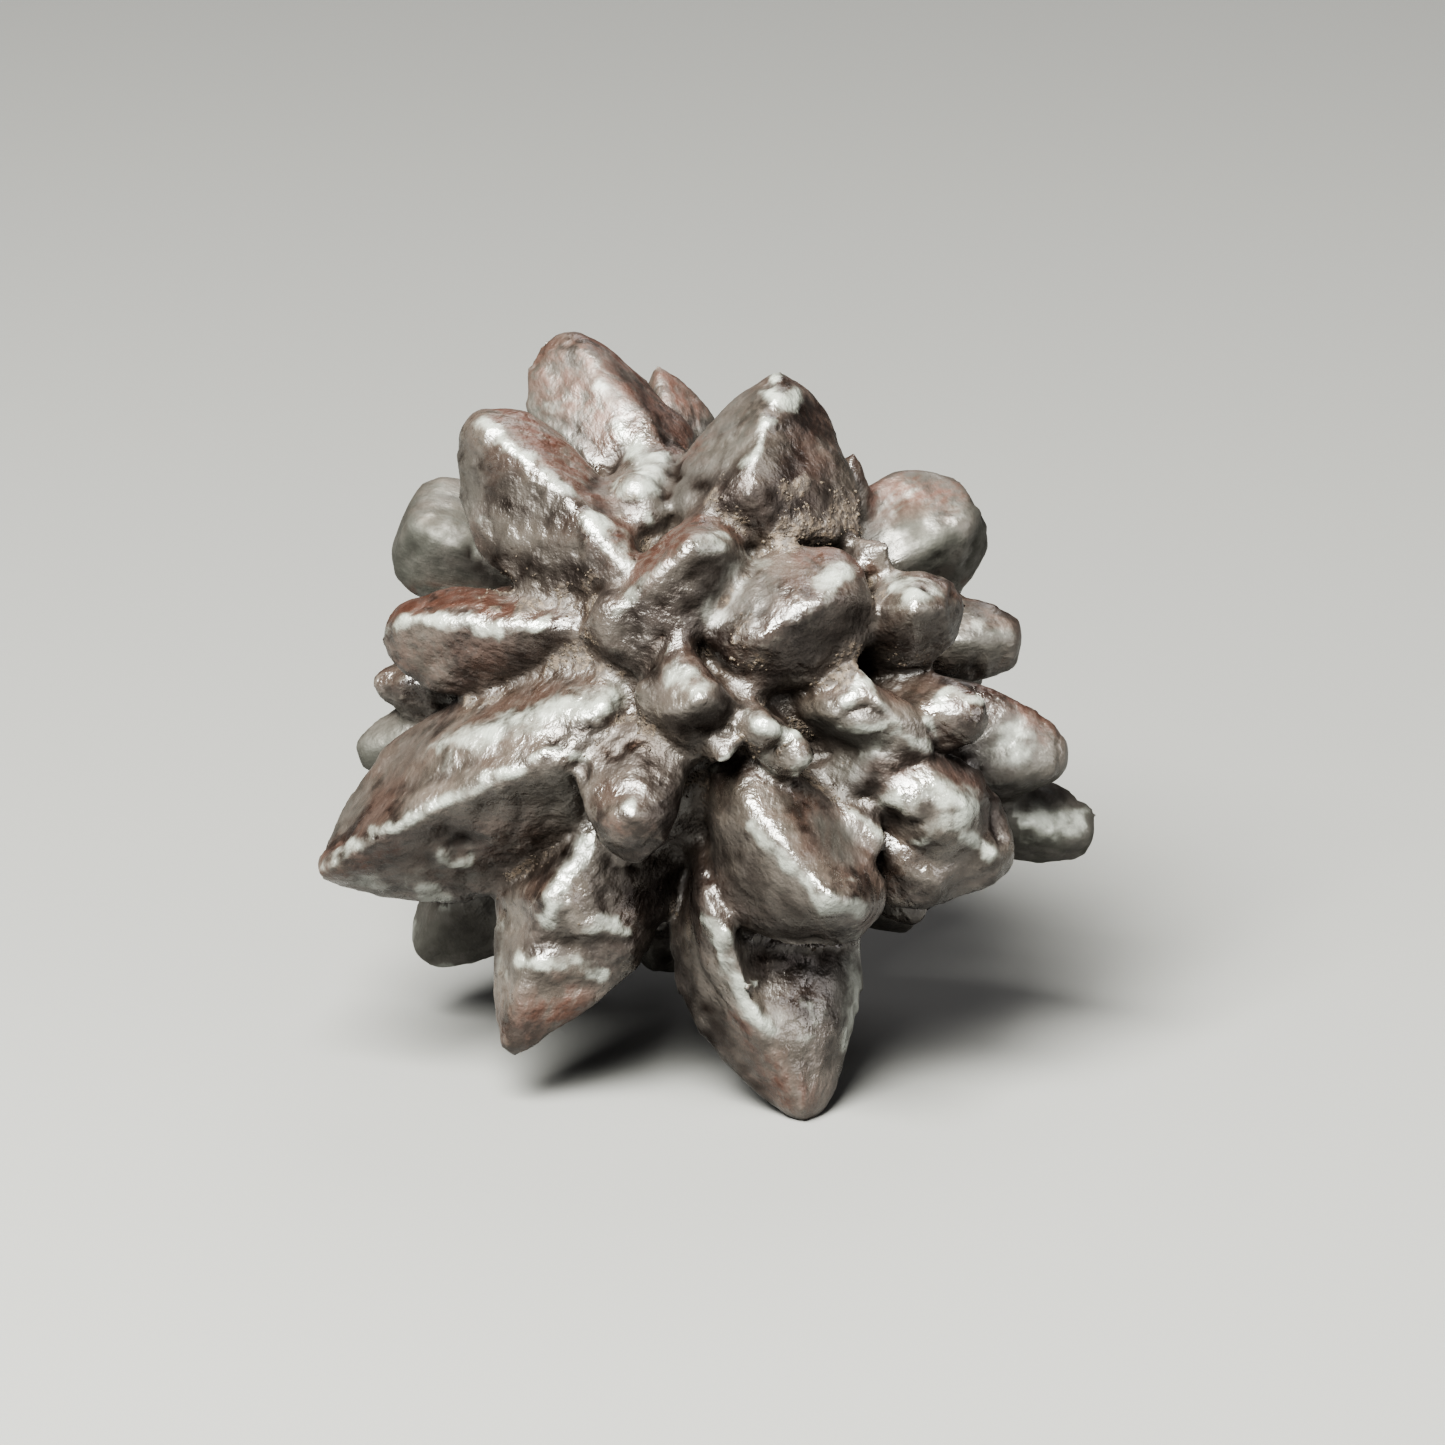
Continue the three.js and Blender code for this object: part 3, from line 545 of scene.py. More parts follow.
def distance_to_line(seen, line):
    """The least distance from each place to the parts of a line, or to its one point."""
    line = np.array(line, float)
    ends = line[1:] if len(line) > 1 else line
    nearest = np.full(len(seen), FAR)
    for start, end in zip(line, ends):
        along = end - start
        share = np.clip((seen - start) @ along / max(along @ along, 1e-9), 0, 1)
        nearest = np.minimum(nearest, np.linalg.norm(seen - start - share[:, None] * along, axis=1))
    return nearest


skin_normals = normals_of(worn)
face_places = face_on(worn)
face_normals = skin_normals @ FACE_FRAME.T
seen_places = as_seen(face_places)
in_view = nearest_surface(seen_places, face_places[:, 2]) * step(face_normals[:, 2], 0.0, 0.2)
wander = WANDER_MM * np.column_stack([noise(worn / 0.9, 61), noise(worn / 0.9, 62)])
wander += FINE_WANDER_MM * np.column_stack([noise(worn / 0.45, 63), noise(worn / 0.45, 64)])
uneven = 0.75 + 0.4 * noise(worn / 0.8, 65) + 0.2 * noise(worn / 0.4, 66)


def falloff(line, width):
    """How much of a stroke reaches each corner: exp(-(distance / width) squared), off a wandering line."""
    return np.exp(-((distance_to_line(seen_places + wander, line) / width) ** 2))


carved = np.zeros(POINT_COUNT)
# Positive polish is painted highlight; negative polish is dark tone and painted shade.
polish_and_painted_highlight = np.zeros(POINT_COUNT)
dark_and_painted_shade = np.zeros(POINT_COUNT)
for width, rise, shine, line in STROKES:
    strength = in_view * uneven * falloff(line, width)
    carved += rise * strength
    polish_and_painted_highlight = np.maximum(polish_and_painted_highlight, shine * strength)
    dark_and_painted_shade = np.maximum(dark_and_painted_shade, -shine * strength)
dark_and_painted_shade = np.clip(dark_and_painted_shade, 0, 1)
print("carved, mm:", round(float(carved.min()), 2), "to", round(float(carved.max()), 2))

# %% [markdown]
# ## Which crystals are red, and which are pale
# Rust settles on faces that look up, and a few faces carry much of it. The crystals that stand at the
# back of the burst, and some faces in front, are painted a dull pale, partly the stone's own dull face
# and partly painted light. Sand lies thick in a few saddles. Each patch is a ball round a place on the
# stone, given face-on in millimetres from the heart: across, up and out. Where rust follows an edge, it
# is a stroke like those above.

# %% Tints
RUST_PATCHES = [
    # across, up, out, reach, strength
    (-2.8, 16.8, -0.4, 4.6, 1.0),  # tall blade, right face
    (-1.5, 17.0, -4.5, 3.4, 0.9),  # behind the tall blade
    (-6.4, 13.0, 5.6, 4.2, 0.8),  # north-west blade, upper face
    (-12.5, 4.9, 4.0, 5.0, 1.0),  # red-backed crystal
    (-2.4, 8.0, 10.2, 3.6, 1.0),  # upper loaf
    (3.0, 9.2, 10.0, 2.6, 0.6),  # between the crown and the loaves
    (16.5, 4.6, -2.0, 3.0, 0.5),  # east back
    (11.0, 11.3, -1.0, 3.2, 0.8),  # north-east block, near corner
    (17.6, -0.6, 3.0, 4.0, 0.8),  # east point, upper face
    (-8.4, -17.6, 5.0, 3.2, 0.8),  # fang, end face
    (6.0, -21.6, 5.5, 3.4, 0.8),  # front foot, tip
    (-18.4, -9.8, 4.5, 3.0, 0.6),  # west spear, tip
    (11.5, -4.2, 8.5, 2.6, 0.3),  # south-east block, arch
    (-2.8, -8.2, 14.0, 2.4, 0.5),  # lower boss, end
]
RUST_STROKES = [
    # width, strength, then the line's points
    (1.15, 0.95, [(-5.3, 18.2), (-3.6, 16.8), (-1.8, 15.0), (-0.2, 13.2)]),  # tall blade, right face
    (2.2, 0.75, [(-7.4, 17.0), (-4.6, 14.6)]),  # tall blade, front face
    (1.1, 0.9, [(-1.2, 16.6), (0.0, 14.9)]),  # behind the tall blade
    (0.8, 1.0, [(-9.9, 14.9), (-7.8, 13.5), (-5.8, 11.7), (-4.2, 9.9)]),  # north-west blade, upper face
    (0.7, 1.0, [(-16.0, 4.4), (-14.0, 4.9), (-11.3, 4.8), (-9.1, 4.2)]),  # red-backed crystal
    (0.6, 1.0, [(-2.4, 5.9), (-1.2, 7.4), (0.5, 8.6)]),  # upper loaf, upper face
    (1.4, 0.2, [(6.8, 13.6), (7.0, 11.2)]),  # crown, right face
    (1.6, 0.4, [(-14.6, 1.8), (-10.4, 1.6)]),  # red-backed crystal, lower face
    (1.8, 0.35, [(-13.5, -9.6), (-8.8, -8.2)]),  # spear, lower face
    (1.6, 0.9, [(-6.6, -17.0), (-8.3, -18.2)]),  # fang, end face
    (1.2, 0.7, [(5.9, -21.4), (4.4, -20.3)]),  # front foot, tip
    (0.4, 0.9, [(2.4, -17.5), (4.0, -19.6), (5.5, -22.0)]),  # front foot, left edge
    (0.6, 0.9, [(14.8, 5.3), (16.7, 4.7)]),  # east back
    (0.6, 0.8, [(15.5, 0.0), (17.3, -0.8), (18.9, -2.4)]),  # east point, upper face
    (1.2, 0.9, [(10.2, 9.8), (11.6, 10.7), (13.8, 10.6)]),  # north-east block, upper corner
    (0.7, 0.5, [(10.2, -4.6), (13.2, -4.1), (15.2, -5.1)]),  # south-east block, arch
    (0.5, 0.8, [(-19.6, -10.0), (-18.0, -9.8), (-15.6, -8.7)]),  # spear, under the ridge
    (0.5, 0.6, [(-4.2, -7.4), (-2.2, -7.5)]),  # lower boss, over its end
    (0.7, 0.3, [(8.9, -8.6), (10.2, -10.6), (9.6, -12.6)]),  # bar, right edge
    (0.5, 0.6, [(8.6, 7.0), (9.8, 5.9)]),  # right loaf, upper corner
    (0.5, 0.6, [(5.9, 7.0), (7.5, 7.2)]),  # right loaf, upper edge
]
# Pale patches: partly the stone's dull faces, partly painted light.
PALE_AND_PAINTED_LIGHT_PATCHES = [
    # across, up, out, reach, strength
    (2.6, 5.2, 12.4, 2.8, 0.6),  # right loaf, left face
    (-11.2, 10.8, 3.5, 3.2, 0.45),  # north-west blade, left edge
    (-6.0, 15.6, 0.0, 4.4, 0.7),  # tall blade, front face
    (15.5, 3.6, 0.0, 3.4, 0.6),  # east back
    (-13.0, -4.2, 3.0, 4.2, 0.45),  # west spear, upper face
    (-17.6, -7.2, 2.0, 3.2, 0.6),  # west spear, tip
    (-13.0, -9.2, 5.0, 3.4, 0.4),  # west spear, lower face
    (9.2, -16.0, 4.0, 2.8, 0.6),  # front foot, right edge
    (7.4, -8.2, 11.0, 2.4, 0.7),  # bar, upper face
    (-13.5, 8.2, -2.5, 6.0, 1.0),  # far north-west
    (14.0, 9.0, -1.0, 6.0, 1.0),  # north-east block
    (20.0, -7.4, 0.0, 5.0, 0.9),  # far east
    (-16.8, -3.2, -1.0, 3.4, 0.9),  # pale west
    (-13.6, -13.8, -7.0, 5.0, 0.7),  # south-west back
    (0.0, 10.5, 5.6, 3.6, 0.7),  # matrix under the tall blade
    (1.2, 14.0, 7.0, 4.6, 0.65),  # crown, left face
    (17.5, -3.4, 4.6, 3.0, 0.6),  # east point, front face
    (8.2, -3.4, 10.0, 3.4, 0.6),  # east saddle
]
SANDY_PATCHES = [
    # across, up, out, reach, strength
    (2.6, 9.6, 8.6, 2.6, 1.0),  # foot of the crown, left
    (5.8, 9.0, 8.6, 3.2, 1.0),  # foot of the crown
    (8.4, 9.4, 7.4, 2.4, 0.8),  # foot of the crown, right
    (-8.8, 5.2, 6.6, 3.0, 0.8),  # foot of the north-west blade
    (-5.4, 5.2, 8.4, 2.4, 0.9),  # west saddle
    (-5.0, 1.6, 9.4, 2.2, 0.8),  # over the spear's root
    (-10.4, -0.4, 4.6, 2.4, 0.6),  # along the spear's upper edge
    (-2.6, -2.4, 11.6, 1.8, 0.9),  # between the bosses
    (3.4, 2.4, 12.2, 2.2, 0.8),  # under the loaves
    (7.6, 1.4, 10.8, 2.4, 0.8),  # right loaf, lower edge
    (9.6, 4.6, 9.8, 1.8, 0.7),  # between the right loaf and the knob
    (11.6, 1.6, 9.0, 2.0, 0.6),  # under the knob
    (3.6, -3.2, 12.6, 2.2, 0.8),  # round the nubs
    (-2.4, 10.2, 6.4, 2.4, 0.6),  # north saddle
    (8.6, -5.2, 9.4, 2.2, 0.5),  # east saddle
    (-5.4, -11.6, 6.4, 2.4, 0.5),  # fang, right edge
    (7.4, -13.6, 5.6, 2.4, 0.5),  # under the south-east bar
]
print("patches:", len(RUST_PATCHES), "rusty,", len(PALE_AND_PAINTED_LIGHT_PATCHES), "pale,", len(SANDY_PATCHES), "sandy")

# %% Masks
PATCH_CORE = 0.45


def patches(places, rows):
    """The strongest of the patches at each place. A patch is full in its core and fades at its reach."""
    strongest = np.zeros(len(places))
    for across, up, out, reach, strength in rows:
        away = np.linalg.norm(places - np.array([across, up, out]), axis=1)
        strongest = np.maximum(strongest, strength * (1 - step(away, PATCH_CORE * reach, reach)))
    return strongest


def stroked(rows):
    """The strongest of the strokes at each corner in view."""
    strongest = np.zeros(POINT_COUNT)
    for width, strength, line in rows:
        strongest = np.maximum(strongest, strength * in_view * falloff(line, width))
    return strongest


looks_up = step(face_normals[:, 1], 0.15, 0.75)
rust = np.maximum(patches(face_places, RUST_PATCHES) * (0.2 + 0.8 * looks_up), 0.2 * looks_up)
rust = np.maximum(rust, stroked(RUST_STROKES))
# Pale is partly the stone's dull faces and partly painted light, on the patches and behind the heart.
pale_and_painted_light = np.maximum(patches(face_places, PALE_AND_PAINTED_LIGHT_PATCHES), 0.55 * step(-face_places[:, 2], 1.0, 6.0))
sprinkled = patches(face_places, SANDY_PATCHES) * step(noise(worn / 0.8, 51), -0.5, 0.2)
lodged = crease * step(noise(worn / 1.6, 52), -0.25, 0.3)
sand = np.maximum(lodged, 0.9 * sprinkled * step(-relief, -1.1, -0.3)) * (1 - 0.8 * dark_and_painted_shade)
print("share that is rusty and pale:", round(float(rust.mean()), 2), round(float(pale_and_painted_light.mean()), 2))

# %% [markdown]
# ## The grown and weathered surface
# Seven things lie on each other: broad waves in the faces, smaller lumps, fine grooves that run along
# the crystals, growth steps that run across them, scattered pits, a sandy crust in the hollows, and the
# strokes carved above. Grooves follow the crystals because every crystal points away from the heart:
# the noise is read from the direction, which changes fast, and from the distance, which changes slowly.
# In a tight crease the moved faces can fold over into a spike, so at the end no corner may stand far
# from the blur of its neighbours.

# %% Relief
WAVE_MM = 0.15
LUMP_MM, FINE_LUMP_MM = 0.13, 0.05
GROOVE_MM, FINE_GROOVE_MM = 0.03, 0.02
LEDGE_MM, LEDGE_APART_MM = 0.13, 1.9
PIT_MM, PIT_APART_MM = 0.15, 1.15
SPIKE_LIMIT_MM = 0.28
SPIKE_ROUNDS = 4
SPIKE_BLUR = 6

battered = 0.5 + 0.5 * step(noise(worn / 4.2, 6), -0.35, 0.35)
calm = 1 - 0.6 * pale_and_painted_light
waves = WAVE_MM * calm * noise(worn / 2.5, 3)
lumps = battered * calm * (LUMP_MM * noise(worn / 1.4, 4) + FINE_LUMP_MM * noise(worn / 0.75, 5))
grooves = GROOVE_MM * noise(outward * 19 + 0.09 * from_heart[:, None], 11)
grooves += FINE_GROOVE_MM * noise(outward * 37 + 0.14 * from_heart[:, None], 12)
stair = from_heart / LEDGE_APART_MM + 1.3 * noise(worn / 3.8, 21)
tread = stair - np.floor(stair)
rise_and_fall = step(tread, 0.0, 0.75) - step(tread, 0.8, 1.0) - 0.4
ledges = LEDGE_MM * rise_and_fall * step(noise(worn / 4.5, 22), 0.0, 0.35)
pitted = step(noise(worn / 4.0, 34), 0.05, 0.4)
pits = -PIT_MM * step(-cell_distance(worn / PIT_APART_MM, 31), -0.36, -0.12) * pitted
crumbs = 0.1 * noise(worn / 0.45, 41) + 0.12 * noise(worn / 0.9, 42) + 0.05
crust = np.maximum(crease, 0.7 * sand) * crumbs
height = waves + lumps + grooves + ledges + pits + crust + carved


def without_spikes(points):
    """A corner further than a little from the blur of its neighbours comes back to that distance."""
    for _ in range(SPIKE_ROUNDS):
        smooth = blur(points, SPIKE_BLUR, 1.0)
        away = points - smooth
        reach = np.linalg.norm(away, axis=1)
        points = smooth + away * np.minimum(1, SPIKE_LIMIT_MM / np.maximum(reach, 1e-9))[:, None]
    return points


skinned = without_spikes(worn + skin_normals * height[:, None])
print("relief added, mm:", [round(float(v), 3) for v in np.percentile(height, [1, 50, 99])])

# %% [markdown]
# ## Back in the box and on its feet
# The finished skin is brought to the size of the solid. It stands on three crystal tips, so the tips
# are drawn down to the floor again and their ends worn flat there.

# %% Fit
FEET_MM = [(5.33, -11.51), (-10.47, 9.96), (5.81, 7.17)]
FOOT_REACH_MM = 4.0
FOOT_CORE_MM = 0.8
FOOT_WORN_MM = 0.08
box_low, box_high = (np.array(corner) / MM for corner in cad_box)


def fitted(points):
    """Each axis is stretched and shifted so that the skin just fills the box."""
    low, high = points.min(0), points.max(0)
    return box_low + (points - low) * (box_high - box_low) / (high - low)


def seated(points):
    """Each foot is lowered by its gap to the floor, less with distance, and worn flat by a little."""
    for foot in FEET_MM:
        away = np.linalg.norm(points[:, :2] - np.array(foot), axis=1)
        near = (away < FOOT_REACH_MM) & (points[:, 2] < 2 * FOOT_REACH_MM)
        gap = points[near, 2].min() + FOOT_WORN_MM
        fade = 1 - step(np.hypot(away, points[:, 2]), FOOT_CORE_MM, 2 * FOOT_REACH_MM)
        print("foot", foot, "gap, mm:", round(float(gap), 3))
        points = points - np.array([0, 0, 1.0]) * (gap * fade)[:, None]
    return np.column_stack([points[:, :2], np.maximum(points[:, 2], 0)])


finished = seated(fitted(skinned))
print("finished size, mm:", (finished.max(0) - finished.min(0)).round(2))

# %% Skin
skin.data.vertices.foreach_set("co", (finished * MM).ravel())
skin.data.polygons.foreach_set("use_smooth", np.ones(len(skin.data.polygons), bool))
skin.data.update()
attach(skin, "root")
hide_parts("stone")
print("triangles in the skin:", 2 * len(skin.data.polygons))

# %% [markdown]
# ## Numbers for the finish
# The finish has to know where the hollows, ridges, rust and sand are. Each mask is stored as an
# attribute of the skin, one number for each corner, which the shader reads by name. The growth
# attribute is a place instead: noise read there makes streaks that run along the crystals.

# %% Attributes
STREAKS_ACROSS = 12
STREAKS_ALONG = 0.12
MASKS = {
    "hollow": hollow,
    "crest": step(lumps + grooves + ledges, 0.0, 0.12),
    # polish holds the painted highlights, dark the dark tone and painted shade, pale partly painted light.
    "polish_and_painted_highlight": polish_and_painted_highlight,
    "dark_and_painted_shade": dark_and_painted_shade,
    "ridge": step(relief, 0.1, 0.9),
    "sand": sand,
    "rust": rust,
    "pale_and_painted_light": pale_and_painted_light,
}
for name, values in MASKS.items():
    layer = skin.data.attributes.new(name, "FLOAT", "POINT")
    layer.data.foreach_set("value", np.asarray(values, np.float32))
growth_places = outward * STREAKS_ACROSS + from_heart[:, None] * STREAKS_ALONG
growth = skin.data.attributes.new("growth", "FLOAT_VECTOR", "POINT")
growth.data.foreach_set("vector", growth_places.astype(np.float32).ravel())
print("attributes:", ", ".join(MASKS), "and growth")

# %% [markdown]
# ## Node helpers
# A finish is a tree of nodes. These few helpers add a node and join it up in one line, so that each
# material below reads as a list of what lies on what.

# %% Node helpers
def input_of(made, name):
    """The input with that name, its spaces written as underscores, or i and its number."""
    if name[0] == "i" and name[1:].isdigit():
        return made.inputs[int(name[1:])]
    return made.inputs[name.replace("_", " ")]


def node(tree, kind, settings=None, **inputs):
    """One node, with its settings, and with each named input set to a value or linked to another socket."""
    made = tree.nodes.new(kind)
    for name, value in (settings or {}).items():
        setattr(made, name, value)
    for name, value in inputs.items():
        socket = input_of(made, name)
        if isinstance(value, bpy.types.NodeSocket):
            tree.links.new(value, socket)
        else:
            socket.default_value = value
    return made


def attribute(tree, name):
    """The socket that reads one number of the skin."""
    return node(tree, "ShaderNodeAttribute", {"attribute_name": name}).outputs["Fac"]


def arithmetic(tree, how, first, second, clamp=False):
    """The sum, product or other mix of two numbers."""
    settings = {"operation": how, "use_clamp": clamp}
    return node(tree, "ShaderNodeMath", settings, i0=first, i1=second).outputs[0]


def product(tree, first, second):
    """One number times the other."""
    return arithmetic(tree, "MULTIPLY", first, second)


def add_share(tree, value, mask, share, clamp=False):
    """The value plus a share of the mask."""
    return arithmetic(tree, "ADD", value, product(tree, mask, share), clamp)


def blend_colours(tree, share, first, second):
    """The first colour where the share is nought, the second where it is one."""
    return node(tree, "ShaderNodeMix", {"data_type": "RGBA"}, i0=share, i6=first, i7=second).outputs[2]


def ramp(tree, value, low, high, bottom=0.0, top=1.0):
    """A smooth climb from bottom to top as the value goes from low to high."""
    made = node(
        tree, "ShaderNodeMapRange", {"interpolation_type": "SMOOTHSTEP"},
        Value=value, From_Min=low, From_Max=high, To_Min=bottom, To_Max=top,
    )
    return made.outputs["Result"]


def speckle(tree, places, scale, detail, roughness=0.55):
    """Noise from 0 to 1, with so many waves to each unit of the places: a metre, or a step of growth."""
    made = node(
        tree, "ShaderNodeTexNoise", None,
        Vector=places, Scale=scale, Detail=detail, Roughness=roughness,
    )
    return made.outputs["Fac"]


# %% [markdown]
# ## Iron oxide
# Up close the stone is dark varnish with brown clouds. Its ridges are worn grey, and along some of them
# an almost white colour is painted as a highlight. Some upper faces are rusty, some are dull and pale,
# partly the stone's own and partly painted light, and sand fills the hollows. The hollows are also
# darkened with matrix brown, partly deposit and partly painted shade, and the strokes paint shade dark.
# One Principled shader carries it all: each layer is a colour laid over the last by its own mask, which
# is one of the skin's numbers broken up by noise. The metal share is high where shade is painted dark,
# which darkens the reflection there as painted shade too, and on dull or rusty places, because such a
# place reflects in its own colour and has no white glare. The bumps are too fine for the skin's squares,
# and calmer on the pale faces.

# %% Iron oxide
# The darkest oxide also serves as painted shade, the pale grey partly as painted light, the white as painted
# highlight, and the matrix brown partly as painted shade in the hollows.
DARK_OXIDE_AND_PAINTED_SHADE = (0.0155, 0.0102, 0.0082, 1)
OXIDE_BROWN = (0.034, 0.0245, 0.0203, 1)
OXIDE_GREY = (0.07, 0.0605, 0.052, 1)
RUST_RED = (0.066, 0.028, 0.0185, 1)
PALE_GREY_AND_PAINTED_LIGHT = (0.069, 0.068, 0.06, 1)
PAINTED_HIGHLIGHT_WHITE = (0.193, 0.2, 0.18, 1)
MATRIX_BROWN_AND_PAINTED_SHADE = (0.026, 0.0172, 0.012, 1)
MATRIX_TAN = (0.072, 0.052, 0.036, 1)
BUMP_DISTANCE = 0.21 * MM
OXIDE_IOR = 1.8


def iron_oxide():
    """Dark varnish, worn brown patches, rust, dull pale faces that are partly painted light, painted
    highlights, painted shade and sand, each laid on by its own mask.
    """
    material = bpy.data.materials.new("iron_oxide")
    material.use_nodes = True
    tree = material.node_tree
    shader = tree.nodes["Principled BSDF"]
    places = node(tree, "ShaderNodeTexCoord").outputs["Object"]
    streaks = node(tree, "ShaderNodeAttribute", {"attribute_name": "growth"}).outputs["Vector"]
    hollow, ridge, crest = (attribute(tree, name) for name in ("hollow", "ridge", "crest"))
    rust, pale_and_painted_light, sand = (attribute(tree, name) for name in ("rust", "pale_and_painted_light", "sand"))
    polish_and_painted_highlight, dark_and_painted_shade = (attribute(tree, name) for name in ("polish_and_painted_highlight", "dark_and_painted_shade"))

    mottle = speckle(tree, places, 480, detail=5, roughness=0.6)
    cloud = speckle(tree, places, 190, detail=4)
    fine = speckle(tree, places, 2600, detail=3)
    flaky = speckle(tree, places, 1400, detail=4, roughness=0.65)
    streak = speckle(tree, streaks, 2.6, detail=5)

    colour = blend_colours(tree, ramp(tree, mottle, 0.4, 0.6), DARK_OXIDE_AND_PAINTED_SHADE, OXIDE_BROWN)
    colour = blend_colours(tree, ramp(tree, cloud, 0.42, 0.62, top=0.8), colour, OXIDE_GREY)
    raised = arithmetic(tree, "ADD", ridge, crest)
    streaky = product(tree, ramp(tree, streak, 0.48, 0.68, top=0.8), raised)
    streaky = arithmetic(tree, "MINIMUM", streaky, 1.0)
    colour = blend_colours(tree, streaky, colour, OXIDE_GREY)
    # Pale grey, partly the stone's dull faces and partly painted light.
    dull_and_painted_light = product(tree, pale_and_painted_light, ramp(tree, mottle, 0.3, 0.6, bottom=0.3))
    colour = blend_colours(tree, dull_and_painted_light, colour, PALE_GREY_AND_PAINTED_LIGHT)
    broken = arithmetic(tree, "ADD", mottle, streak)
    red = product(tree, rust, ramp(tree, broken, 0.8, 1.15, bottom=0.15))
    colour = blend_colours(tree, red, colour, RUST_RED)
    # Painted highlights: an almost white colour laid on the strokes' polish.
    jagged = add_share(tree, add_share(tree, polish_and_painted_highlight, mottle, 0.7), flaky, 0.7)
    painted_highlight = product(tree, ramp(tree, jagged, 0.95, 1.65), ramp(tree, polish_and_painted_highlight, 0.05, 0.6))
    colour = blend_colours(tree, painted_highlight, colour, PAINTED_HIGHLIGHT_WHITE)
    # Painted shade: the darkest oxide colour laid on the strokes' dark places.
    shade = product(tree, dark_and_painted_shade, ramp(tree, cloud, 0.3, 0.6, 0.75, 1.0))
    colour = blend_colours(tree, shade, colour, DARK_OXIDE_AND_PAINTED_SHADE)
    # Hollows darkened with matrix brown: partly deposit, partly painted shade.
    colour = blend_colours(tree, product(tree, hollow, 0.7), colour, MATRIX_BROWN_AND_PAINTED_SHADE)
    grit = ramp(tree, fine, 0.46, 0.6)
    matrix = blend_colours(tree, grit, MATRIX_BROWN_AND_PAINTED_SHADE, MATRIX_TAN)
    sandy = ramp(tree, add_share(tree, sand, mottle, 0.6), 0.6, 0.9)
    colour = blend_colours(tree, sandy, colour, matrix)
    tree.links.new(colour, shader.inputs["Base Color"])

    # Metal on the painted shade darkens its reflection too, as more painted shade.
    metal = arithmetic(tree, "MAXIMUM", shade, ramp(tree, mottle, 0.36, 0.56, 0.4, 0.0))
    metal = arithmetic(tree, "MAXIMUM", metal, product(tree, dull_and_painted_light, 0.85))
    metal = arithmetic(tree, "MAXIMUM", metal, product(tree, red, 0.6))
    metal = product(tree, metal, arithmetic(tree, "SUBTRACT", 1.0, painted_highlight))
    tree.links.new(metal, shader.inputs["Metallic"])

    rough = ramp(tree, speckle(tree, places, 700, detail=4), 0.38, 0.62, 0.24, 0.4)
    for mask, share in [(sandy, 0.35), (hollow, 0.12), (shade, 0.26), (red, 0.15), (painted_highlight, -0.06)]:
        rough = add_share(tree, rough, mask, share)
    rough = add_share(tree, rough, dull_and_painted_light, 0.36, clamp=True)
    tree.links.new(rough, shader.inputs["Roughness"])

    wrinkles = product(tree, streak, 0.5)
    height = arithmetic(tree, "ADD", wrinkles, speckle(tree, places, 1100, detail=3))
    height = add_share(tree, height, fine, ramp(tree, sand, 0.1, 0.7, 0.05, 0.8))
    calm = arithmetic(tree, "SUBTRACT", 1.0, product(tree, pale_and_painted_light, 0.6))
    height = product(tree, height, calm)
    bump = node(tree, "ShaderNodeBump", None, Strength=1.0, Distance=BUMP_DISTANCE, Height=height)
    tree.links.new(bump.outputs["Normal"], shader.inputs["Normal"])
    shader.inputs["IOR"].default_value = OXIDE_IOR
    return material


skin.data.materials.append(iron_oxide())
print("nodes in the iron oxide:", len(skin.data.materials[0].node_tree.nodes))

# %% [markdown]
# ## Sand grains
# Real grains stick in the creases. These are 0.1 to 0.3 mm wide, less than one of the skin's squares,
# so they are separate twenty-sided lumps, all joined in one mesh. Each one is a copy of the same lump,
# turned and sized by seeded numbers and set into the skin where the sand mask is strong. It slides a
# little way along the skin, so that the grains don't show the pattern of the squares. A turn that
# came out as a mirror would turn the lump inside out, so its sign is changed.

# %% One grain
GOLDEN = (1 + 5**0.5) / 2
LUMP_CORNERS = np.array(
    [(0, a, b * GOLDEN) for a in (-1, 1) for b in (-1, 1)]
    + [(a, b * GOLDEN, 0) for a in (-1, 1) for b in (-1, 1)]
    + [(b * GOLDEN, 0, a) for a in (-1, 1) for b in (-1, 1)]
) / math.hypot(1, GOLDEN)


def lump_faces():
    """The lump's twenty triangles: every three corners one edge apart from each other, facing out."""
    edge = 2 / math.hypot(1, GOLDEN)
    apart = np.linalg.norm(LUMP_CORNERS[:, None] - LUMP_CORNERS[None], axis=2)
    joined = np.abs(apart - edge) < 0.01
    faces = []
    for a, b, c in itertools.combinations(range(len(LUMP_CORNERS)), 3):
        if joined[a, b] and joined[b, c] and joined[a, c]:
            p, q, r = LUMP_CORNERS[[a, b, c]]
            faces.append((a, b, c) if np.dot(np.cross(q - p, r - p), p) > 0 else (a, c, b))
    return np.array(faces)


LUMP_FACES = lump_faces()
print("triangles in a grain:", len(LUMP_FACES))

# %% Sand grains
GRAIN_COUNT = 9000
GRAIN_SEED = 7
SMALLEST_RADIUS_MM = 0.05
LARGEST_RADIUS_MM = 0.15
SANDY_ENOUGH = 0.25
SLIDE_MM = 0.12
SUNK_SHARE = 0.4


